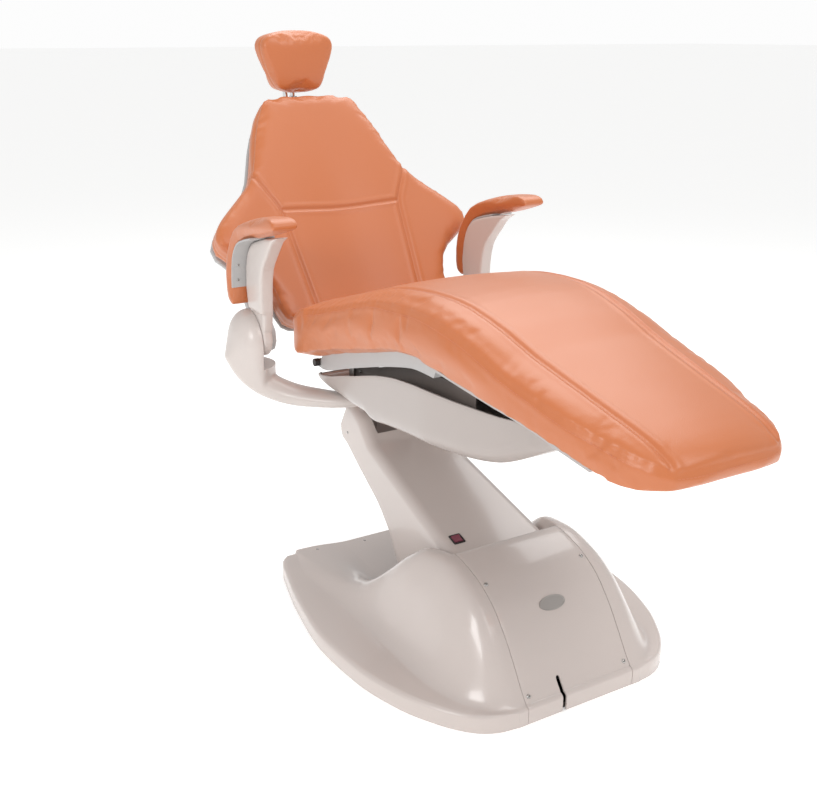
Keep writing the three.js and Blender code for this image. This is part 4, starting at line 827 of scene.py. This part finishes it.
def puffed(piece, pressure, cap):
    """Lets air pressure swell a cushion's cover as cloth, no point further than the cap in millimetres."""
    start = coordinates(piece) - directions(piece) * (0.45 * cap * MM)
    set_coordinates(piece, start)
    cloth = piece.modifiers.new("cover", "CLOTH")
    cloth.settings.use_pressure = True
    cloth.settings.uniform_pressure_force = pressure
    cloth.settings.effector_weights.gravity = 0
    cloth.settings.quality = 4
    cloth.point_cache.frame_start, cloth.point_cache.frame_end = 1, 20
    for step in range(1, 21):
        scene.frame_set(step)
    baked(piece)
    scene.frame_set(1)
    travel = coordinates(piece) - start
    length = np.linalg.norm(travel, axis=1, keepdims=True)
    limit = cap * MM
    return set_coordinates(piece, start + travel * np.minimum(1, limit * np.tanh(length / limit)
                                                              / np.maximum(length, 1e-9)))


def dense(points, spacing=2.0):
    """A line through points in millimetres as close points in metres."""
    line = np.array(spline(points, 12)) * MM
    steps = np.linalg.norm(np.diff(line, axis=0), axis=1)
    along = np.concatenate([[0], np.cumsum(steps)])
    places = np.linspace(0, along[-1], max(int(along[-1] / (spacing * MM)), 2))
    return np.stack([np.interp(places, along, line[:, axis]) for axis in range(3)], axis=1)


def evened(line, reach=6):
    """A line of close points with the small steps taken out of it, its two ends kept."""
    spread = np.pad(line, ((reach, reach), (0, 0)), mode="edge")
    share = np.hanning(2 * reach + 3)[1:-1]
    share /= share.sum()
    even = np.stack([np.convolve(spread[:, axis], share, "valid") for axis in range(3)], axis=1)
    even[[0, -1]] = line[[0, -1]]
    return even


def laid(piece, line):
    """A line's points moved to the nearest places on a piece, with the directions that face out there."""
    tree = BVHTree.FromObject(piece, bpy.context.evaluated_depsgraph_get())
    found = [tree.find_nearest(Vector(p)) for p in line]
    return evened(np.array([f[0] for f in found])), np.array([f[1] for f in found])


def creased(piece, lines, depth, width):
    """Draws the cover in along sewn lines, with a soft roll of foam beside each one."""
    points = np.concatenate(lines)
    tree = KDTree(len(points))
    for i, point in enumerate(points):
        tree.insert(point, i)
    tree.balance()
    places = coordinates(piece)
    near = np.array([tree.find(p)[2] for p in places]) / MM
    beside = (near - 2.6 * width) / (1.3 * width)
    pull = depth * np.exp(-(near / width) ** 2) - 0.3 * depth * np.exp(-beside ** 2)
    return set_coordinates(piece, places - directions(piece) * (pull * MM)[:, None])


seat = cad_copy("seat_cushion", "seat_cushion_vinyl")
remeshed(seat, 6, 14)
places = coordinates(seat) / MM
half = np.array([max(table_value(SEAT_HALF, y), 60) for y in places[:, 1]])
crown = np.array([table_value(SEAT_CROWN, y) for y in places[:, 1]])
under = np.array([table_value(SEAT_UNDER, y) for y in places[:, 1]])
top_share = np.clip((places[:, 2] - under) / (crown - under), 0, 1)
out_share = np.clip(np.abs(places[:, 0]) / half, 0, 1) ** 2
places[:, 2] += top_share * (SEAT_RISE * (1 - out_share) - SEAT_DROP * out_share)
set_coordinates(seat, places * MM)
puffed(seat, 3.0, 9)
baked(seat, ("SMOOTH", {"factor": 0.5, "iterations": 2}),
      ("SUBSURF", {"levels": 1, "render_levels": 1}))


def seat_edge(inset, drop):
    """The line round the seat's top edge, closed at the toe and across the rear."""
    side = [(table_value(SEAT_HALF, y) - inset, y, table_value(SEAT_SEAM, y) - drop)
            for y in (392, 350, 300, 229, 150, 60, 0, -60, -120, -180, -240, -300, -360, -420, -480, -540, -600, -650,
                      -690, -712, -726, -736, -742)]
    return side + [(-x, y, z) for x, y, z in side[::-1]]


seat_boxing, _ = laid(seat, dense(seat_edge(2, 0)))
seat_fell, _ = laid(seat, dense(seat_edge(0, 10)))
panel_lines = []
for side in (-1, 1):
    seam = dense([(side * x, y, table_value(SEAT_CROWN, y)) for y, x in PANEL_SEAM])
    tree = BVHTree.FromObject(seat, bpy.context.evaluated_depsgraph_get())
    hits = [tree.ray_cast(Vector((x, y, 1.2)), Vector((0, 0, -1))) for x, y, _ in seam]
    panel_lines.append(np.array([h[0] for h in hits if h[0]]))
creased(seat, [seat_boxing], 1.8, 5.0)
creased(seat, [seat_fell], 1.1, 4.2)
creased(seat, panel_lines, 3.4, 4.4)

# Contract vinyl: PVC leathercloth in orange, calendered with a fine hide grain that is about 0.6 mm on the
# roll and is drawn at 2 mm so that it shows; a soft lacquer bloom pales it where light grazes.
VINYL, VINYL_DEEP = "#C97444", "#C36D3D"
vinyl, tree, shader = new_material("orange_contract_vinyl")
place = node(tree, "ShaderNodeTexCoord").outputs["Object"]
drift = node(tree, "ShaderNodeTexNoise", {"Vector": place, "Scale": 4.0, "Detail": 2.0})
mix = node(tree, "ShaderNodeMix", {0: drift.outputs["Fac"], 6: linear(VINYL), 7: linear(VINYL_DEEP)},
           data_type="RGBA")
tree.links.new(mix.outputs[2], shader.inputs["Base Color"])
hide = node(tree, "ShaderNodeTexVoronoi", {"Vector": place, "Scale": 520.0, "Randomness": 1.0},
            feature="SMOOTH_F1")
pores = node(tree, "ShaderNodeTexNoise", {"Vector": place, "Scale": 900.0, "Detail": 4.0})
relief = node(tree, "ShaderNodeMath", {0: hide.outputs["Distance"], 1: pores.outputs["Fac"]}, operation="ADD")
bump = node(tree, "ShaderNodeBump", {"Height": relief.outputs[0], "Strength": 0.16, "Distance": 0.001})
tree.links.new(bump.outputs["Normal"], shader.inputs["Normal"])
lacquer = node(tree, "ShaderNodeMapRange", {"Value": drift.outputs["Fac"], "From Min": 0.3, "From Max": 0.7,
                                            "To Min": 0.34, "To Max": 0.42})
tree.links.new(lacquer.outputs["Result"], shader.inputs["Roughness"])
shader.inputs["Specular IOR Level"].default_value = 0.6
shader.inputs["Sheen Weight"].default_value = 0.12
shader.inputs["Sheen Roughness"].default_value = 0.45
shader.inputs["Sheen Tint"].default_value = linear("#FBE3D6")
shader.inputs["Coat Weight"].default_value = 0.15
shader.inputs["Coat Roughness"].default_value = 0.3
finished(seat, vinyl, "seat", "vinyl", "seat_cushion")

# ---------- seat stitching ---------- Bonded polyester thread, 0.8 mm thick, in 5 mm lock stitches beside
# the seams. One tree lays a stitch at each step along a line and turns it along the line; the same tree
# sews the back.
stitch_tree, given = group_tree("lock_stitches", ("Spacing", "NodeSocketFloat", 0.0068),
                                ("Stitch Length", "NodeSocketFloat", 0.0048),
                                ("Thread Radius", "NodeSocketFloat", 0.0005),
                                ("Finish", "NodeSocketMaterial", None))
line = node(stitch_tree, "GeometryNodeMeshToCurve", {"Mesh": given["Geometry"]})
even = node(stitch_tree, "GeometryNodeResampleCurve", {"Curve": line.outputs[0], "Length": given["Spacing"]},
            mode="LENGTH")
tangent = node(stitch_tree, "GeometryNodeInputTangent")
turned = node(stitch_tree, "FunctionNodeAlignRotationToVector", {"Vector": tangent.outputs[0]}, axis="Z")
stitch = node(stitch_tree, "GeometryNodeMeshCylinder", {"Vertices": 6, "Radius": given["Thread Radius"],
                                                        "Depth": given["Stitch Length"]})
sewn = node(stitch_tree, "GeometryNodeInstanceOnPoints",
            {"Points": even.outputs[0], "Instance": stitch.outputs[0],
                                                          "Rotation": turned.outputs[0]})
real_stitches = node(stitch_tree, "GeometryNodeRealizeInstances", {"Geometry": sewn.outputs[0]})
finish_stitches = node(stitch_tree, "GeometryNodeSetMaterial", {"Geometry": real_stitches.outputs[0],
                                                                "Material": given["Finish"]})
node(stitch_tree, "NodeGroupOutput", {"Geometry": finish_stitches.outputs[0]})

thread, tree, shader = new_material("bonded_polyester_thread")
place = node(tree, "ShaderNodeTexCoord").outputs["Object"]
twist = node(tree, "ShaderNodeTexNoise", {"Vector": place, "Scale": 1200.0})
mix = node(tree, "ShaderNodeMix", {0: twist.outputs["Fac"], 6: linear("#C06A43"), 7: linear("#D98860")},
           data_type="RGBA")
tree.links.new(mix.outputs[2], shader.inputs["Base Color"])
shader.inputs["Roughness"].default_value = 0.6
shader.inputs["Sheen Weight"].default_value = 0.3


def sewn_line(name, piece, body, lines):
    """Stitches along lines that lie on a cushion, half sunk into its cover."""
    vertices, edges = [], []
    for each in lines:
        places, outs = laid(piece, each)
        first = len(vertices)
        vertices += [tuple(p + n * 0.1 * MM) for p, n in zip(places, outs)]
        edges += [(first + i, first + i + 1) for i in range(len(places) - 1)]
    mesh = bpy.data.meshes.new(name)
    mesh.from_pydata(vertices, edges, [])
    made = bpy.data.objects.new(name, mesh)
    scene.collection.objects.link(made)
    tree_result(made, stitch_tree, finish=thread)
    return finished(made, thread, body, "vinyl")


def beside(line, offset):
    """A line moved sideways in plan by millimetres."""
    run = np.gradient(line, axis=0)
    side = np.stack([-run[:, 1], run[:, 0], np.zeros(len(run))], axis=1)
    return line + side / np.maximum(np.linalg.norm(side, axis=1, keepdims=True), 1e-9) * offset * MM


sewn_line("seat_stitching", seat, "seat",
          [dense(seat_edge(0, 13), 5), *[beside(line, 7 * side) for side, line in zip((1, -1), panel_lines)]])

# ---------- back cushion ----------
# Foam on a plywood-stiff shell: a centre panel in two parts and two wings that wrap forward, boxed all round.
BACK_TILT = math.radians(35.5)
BACK_OUTLINE = [[0, 6], [150, 6], [205, 12], [228, 34], [242, 92], [264, 146], [318, 190], [348, 230],
                [334, 272], [300, 310], [253, 357], [218, 400], [194, 462], [170, 525], [141, 578],
                [110, 605], [0, 614]]
BACK_FACE, BACK_DEPTH, WING_FROM, WING_WRAP = -28, 74, 150, 20


def to_back(points):
    """Places in the chair as places in the back's own upright frame: x, depth and height from the hub."""
    y, z = points[:, 1] - HUB_Y * MM, points[:, 2] - HUB_Z * MM
    return np.stack([points[:, 0], y * math.cos(BACK_TILT) - z * math.sin(BACK_TILT),
                     y * math.sin(BACK_TILT) + z * math.cos(BACK_TILT)], axis=1)


def from_back(points):
    y, z = points[:, 1], points[:, 2]
    return np.stack([points[:, 0], HUB_Y * MM + y * math.cos(BACK_TILT) + z * math.sin(BACK_TILT),
                     HUB_Z * MM - y * math.sin(BACK_TILT) + z * math.cos(BACK_TILT)], axis=1)


back = cad_copy("back_cushion", "back_cushion_vinyl")
remeshed(back, 6, 7)
places = to_back(coordinates(back)) / MM
front_share = np.clip((BACK_FACE + BACK_DEPTH - places[:, 1]) / BACK_DEPTH, 0, 1)
wing = np.clip((np.abs(places[:, 0]) - WING_FROM) / (348 - WING_FROM), 0, 1)
upper = np.clip((places[:, 2] - 300) / 300, 0, 1)
places[:, 1] += 10 * np.exp(-(places[:, 0] / 95) ** 2) * front_share * (1 - upper) - WING_WRAP * wing ** 1.6
places[:, 1] += front_share * 6 - 6 * front_share * upper
places[:, 2] += 8 * np.clip((places[:, 2] - 520) / 94, 0, 1)
set_coordinates(back, from_back(places * MM))
puffed(back, 3.0, 9)
baked(back, ("SMOOTH", {"factor": 0.5, "iterations": 2}), ("SUBSURF", {"levels": 1, "render_levels": 1}))


def on_back_face(points, spacing=2.0):
    """A line drawn on the back's front face from pairs of x and height."""
    line = dense([(x, -200, z) for x, z in points], spacing)
    tree = BVHTree.FromObject(back, bpy.context.evaluated_depsgraph_get())
    starts = from_back(line)
    toward = Vector((0, math.cos(BACK_TILT), -math.sin(BACK_TILT)))
    hits = [tree.ray_cast(Vector(p), toward) for p in starts]
    return np.array([h[0] for h in hits if h[0]])


half_outline = [tuple(p[:2]) for p in spline([(*p, 0) for p in BACK_OUTLINE], 5)]


def back_edge(depth, inset):
    ring = []
    for x, z in half_outline:
        ring.append((x, depth, z))
    ring = ring + [(-x, y, z) for x, y, z in ring[-2:0:-1]] + ring[:1]
    middle = np.array([0, 0, 270.0])
    ring = [tuple(np.array(p) + (middle - np.array(p)) * [inset, 0, inset]) for p in ring]
    ring = [(x, y - WING_WRAP * min(max((abs(x) - WING_FROM) / 198, 0), 1) ** 1.6, z) for x, y, z in ring]
    return from_back(dense([tuple(p) for p in ring], 2.0))


wing_seams = [on_back_face([(side * x, z) for x, z in ((214, 404), (186, 348), (163, 300), (157, 240), (152, 172),
                                                      (146, 90), (141, 20))]) for side in (-1, 1)]
cross_seam = on_back_face([(-161, 298), (-80, 296), (0, 295), (80, 296), (161, 298)])
back_boxing, _ = laid(back, back_edge(BACK_FACE + 14, 0.012))
back_rear, _ = laid(back, back_edge(BACK_FACE + BACK_DEPTH - 16, 0))
creased(back, [back_boxing], 1.8, 4.6)
creased(back, [back_rear], 1.2, 4.2)
creased(back, [*wing_seams, cross_seam], 3.2, 4.2)
finished(back, vinyl, "back", "vinyl", "back_cushion")
sewn_line("back_stitching", back, "back", [
    on_back_face([(side * (x - 7), z) for x, z in ((208, 396), (184, 344), (163, 292), (157, 240), (152, 172),
                                                   (146, 90), (141, 24))], 5) for side in (-1, 1)]
    + [on_back_face([(-150, 288), (0, 287), (150, 288)], 5)])

# ---------- back shell and frame ----------
# A satin ABS cover closes the back; a welded and painted steel frame carries it on the hubs.
back_moulding = softened(cad_copy("back_shell", "back_shell_moulding"), 4.5)
finished(back_moulding, pan_abs, "back", "grey_plastic", "back_shell")
back_weldment = softened(cad_copy("back_frame", "back_frame_weldment"), 1.0)
finished(back_weldment, pan_abs, "back", "grey_plastic", "back_frame")

# ---------- headrest ---------- A small pillow of the same vinyl over a black moulded plate, on a chromed
# double link, a flat bar and its guide.
HEAD_AT, HEAD_FACE, HEAD_THICK = (905, 1165), -105, 64
pillow = cad_copy("headrest_cushion", "headrest_cushion_vinyl")
remeshed(pillow, 4, 34, 0.6)
places = coordinates(pillow) / MM - np.array([0, *HEAD_AT])
face_share = np.clip((HEAD_FACE + HEAD_THICK - places[:, 1]) / HEAD_THICK, 0, 1)
spread = np.clip(1 - (places[:, 0] / 105) ** 2, 0, 1) * np.clip(1 - (places[:, 2] / 82) ** 2, 0, 1)
places[:, 1] -= 7 * face_share * spread
places[:, 0] *= 1 - 0.05 * face_share
set_coordinates(pillow, (places + np.array([0, *HEAD_AT])) * MM)
puffed(pillow, 4.0, 7)
baked(pillow, ("SUBSURF", {"levels": 1, "render_levels": 1}))
HEAD_OUTLINE = [[0, -76], [50, -75], [68, -62], [84, -27], [101, 15], [105, 40], [94, 60], [60, 70], [0, 73]]
head_half = [tuple(p[:2]) for p in spline([(*p, 0) for p in HEAD_OUTLINE], 5)]
head_ring = [*head_half, *[(-x, z) for x, z in head_half[-2:0:-1]], head_half[0]]
head_seam, _ = laid(pillow, dense([(x, HEAD_AT[0] + HEAD_FACE + 26, HEAD_AT[1] + z) for x, z in head_ring]))
creased(pillow, [head_seam], 1.4, 3.0)
finished(pillow, vinyl, "headrest", "vinyl", "headrest_cushion")
finished(softened(cad_copy("headrest_plate", "headrest_plate_moulding"), 1.0), black_nylon, "headrest",
         "black_plastic", "headrest_plate")
guide_moulding = softened(cad_copy("headrest_guide", "headrest_guide_moulding"), 1.2)
finished(guide_moulding, black_nylon, "back", "black_plastic",
         "headrest_guide")
finished(softened(cad_copy("headrest_lock", "headrest_lock_lever"), 1.0), black_nylon, "headrest_lock",
         "black_plastic", "headrest_lock")

chrome, tree, shader = new_material("bright_chrome_plate")
place = node(tree, "ShaderNodeTexCoord").outputs["Object"]
haze = node(tree, "ShaderNodeTexNoise", {"Vector": place, "Scale": 30.0, "Detail": 4.0})
polish = node(tree, "ShaderNodeMapRange", {"Value": haze.outputs["Fac"], "To Min": 0.06, "To Max": 0.16})
tree.links.new(polish.outputs["Result"], shader.inputs["Roughness"])
shader.inputs["Base Color"].default_value = linear("#D9DADC")
shader.inputs["Metallic"].default_value = 1
finished(softened(cad_copy("headrest_bar", "headrest_flat_bar"), 0.8), chrome, "headrest_bar", "chrome",
         "headrest_bar")
finished(softened(cad_copy("headrest_link", "headrest_double_link"), 0.8), chrome, "headrest_link", "chrome",
         "headrest_link")

# ---------- armrests ---------- A moulded post rises from a ring at the hub and sweeps forward under an
# arched foam pad; a grey plate with two screws clamps the pad to the post.
for side_name, sign in (("right", -1), ("left", 1)):
    body = f"armrest_{side_name}"
    post = remeshed(cad_copy(f"armrest_post_{side_name}", f"armrest_post_moulding_{side_name}"), 2.2, 34)
    finished(post, coat, body, "shell_gloss", f"armrest_post_{side_name}")
    plate = softened(cad_copy(f"armrest_plate_{side_name}", f"armrest_clamp_plate_{side_name}"), 0.8, 30)
    finished(plate, pan_abs, body, "grey_plastic", f"armrest_plate_{side_name}")
    pad = remeshed(cad_copy(f"armrest_pad_{side_name}", f"armrest_pad_vinyl_{side_name}"), 3.0, 34, 0.6)
    puffed(pad, 4.0, 6)
    baked(pad, ("SUBSURF", {"levels": 1, "render_levels": 1}))
    finished(pad, vinyl, body, "vinyl", f"armrest_pad_{side_name}")
    spots = [lying_on(plate, (sign * 0.326, 0.30, height), (0, 1, 0)) for height in (0.705, 0.740)]
    screws(f"armrest_screws_{side_name}", body, 3.2, [spot for spot in spots if spot[0]])

# ---------- mechanism ---------- Lift beam, levelling link, rams, pins and deck: zinc-plated and black
# e-coated steel, seen only through gaps.
ecoat, tree, shader = new_material("black_electrocoated_steel")
place = node(tree, "ShaderNodeTexCoord").outputs["Object"]
dust = node(tree, "ShaderNodeTexNoise", {"Vector": place, "Scale": 40.0, "Detail": 6.0, "Roughness": 0.7})
mix = node(tree, "ShaderNodeMix", {0: dust.outputs["Fac"], 6: linear("#37322F"), 7: linear("#5E554F")},
           data_type="RGBA")
tree.links.new(mix.outputs[2], shader.inputs["Base Color"])
shader.inputs["Roughness"].default_value = 0.55
shader.inputs["Metallic"].default_value = 0.4
drawn_steel, tree, shader = new_material("drawn_bright_steel")
place = node(tree, "ShaderNodeTexCoord").outputs["Object"]
marks = node(tree, "ShaderNodeTexNoise", {"Vector": place, "Scale": 120.0, "Detail": 4.0})
polish = node(tree, "ShaderNodeMapRange", {"Value": marks.outputs["Fac"], "To Min": 0.25, "To Max": 0.5})
tree.links.new(polish.outputs["Result"], shader.inputs["Roughness"])
shader.inputs["Base Color"].default_value = linear("#A3A19E")
shader.inputs["Metallic"].default_value = 1
enamel, tree, shader = new_material("warm_grey_stoved_enamel")
place = node(tree, "ShaderNodeTexCoord").outputs["Object"]
flow = node(tree, "ShaderNodeTexNoise", {"Vector": place, "Scale": 12.0, "Detail": 3.0})
mix = node(tree, "ShaderNodeMix", {0: flow.outputs["Fac"], 6: linear("#6B615C"), 7: linear("#837873")},
           data_type="RGBA")
tree.links.new(mix.outputs[2], shader.inputs["Base Color"])
shader.inputs["Roughness"].default_value = 0.45

# Two bent trim sheets stand on the tub's floor and hide the rams from the side, with a terminal post on each.
TRIM_X, TRIM_THICK, TRIM_FOOT, TRIM_OVER_RIM = 128, 2.5, 476, 11
trim_line = [(y, table_value(TUB_RIM, y) + TRIM_OVER_RIM) for y in np.linspace(-225, 296, 40)]
trim_outline = [*trim_line, (296, TRIM_FOOT), (-225, TRIM_FOOT)]
POST_Y, POST_WIDE, POST_TOP, BOLT_Y, BOLT_Z, BOLT_RADIUS = 262, 9, 528, 238, 517, 4.5
for side_name, sign in (("right", -1), ("left", 1)):
    trim = drawn_out(f"tub_trim_{side_name}", trim_outline, lambda y, z, x, sign=sign: (sign * x, y, z),
                     (TRIM_X, TRIM_X + TRIM_THICK))
    finished(softened(trim, 0.6), enamel, "carriage", "dark_metal")
    post = drawn_out(f"terminal_post_{side_name}", [
        (POST_Y, TRIM_FOOT), (POST_Y + POST_WIDE, TRIM_FOOT), (POST_Y + POST_WIDE, POST_TOP), (POST_Y, POST_TOP)],
        lambda y, z, x, sign=sign: (sign * x, y, z), (TRIM_X + TRIM_THICK + 0.3, TRIM_X + TRIM_THICK + 5))
    finished(softened(post, 0.8), drawn_steel, "carriage", "steel")
    screws(f"terminal_bolt_{side_name}", "carriage", BOLT_RADIUS,
           [(Vector((sign * (TRIM_X + TRIM_THICK + 0.4), BOLT_Y, BOLT_Z)) * MM, Vector((sign, 0, 0)))])

NODE_FINISHES = {
    ecoat: ("base_plate", "pivot_stand_right", "pivot_stand_left", "cylinder_mount", "oil_tank"),
    enamel: ("lift_arm", "carriage_frame"),
    drawn_steel: ("lift_pivot_pin", "link_pin_lower", "cylinder_pin", "pump_motor", "upper_pivot_pin",
                  "levelling_link", "lift_cylinder", "hub_pin_right", "hub_pin_left", "link_pin_upper",
                  "seat_pivot_pin_right", "seat_pivot_pin_left", "tilt_cylinder", "headrest_pin",
                  "headrest_pin_upper", "recline_cylinder"),
    chrome: ("lift_rod", "tilt_rod", "recline_rod"),
    pan_abs: ("control_box", "seat_pan"),
    black_nylon: ("pivot_cap_right", "pivot_cap_left"),
}
for finish, names in NODE_FINISHES.items():
    for name in names:
        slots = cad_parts[name].material_slots
        for material_slot in slots:
            material_slot.material = finish

bpy.data.objects.remove(head_pattern)
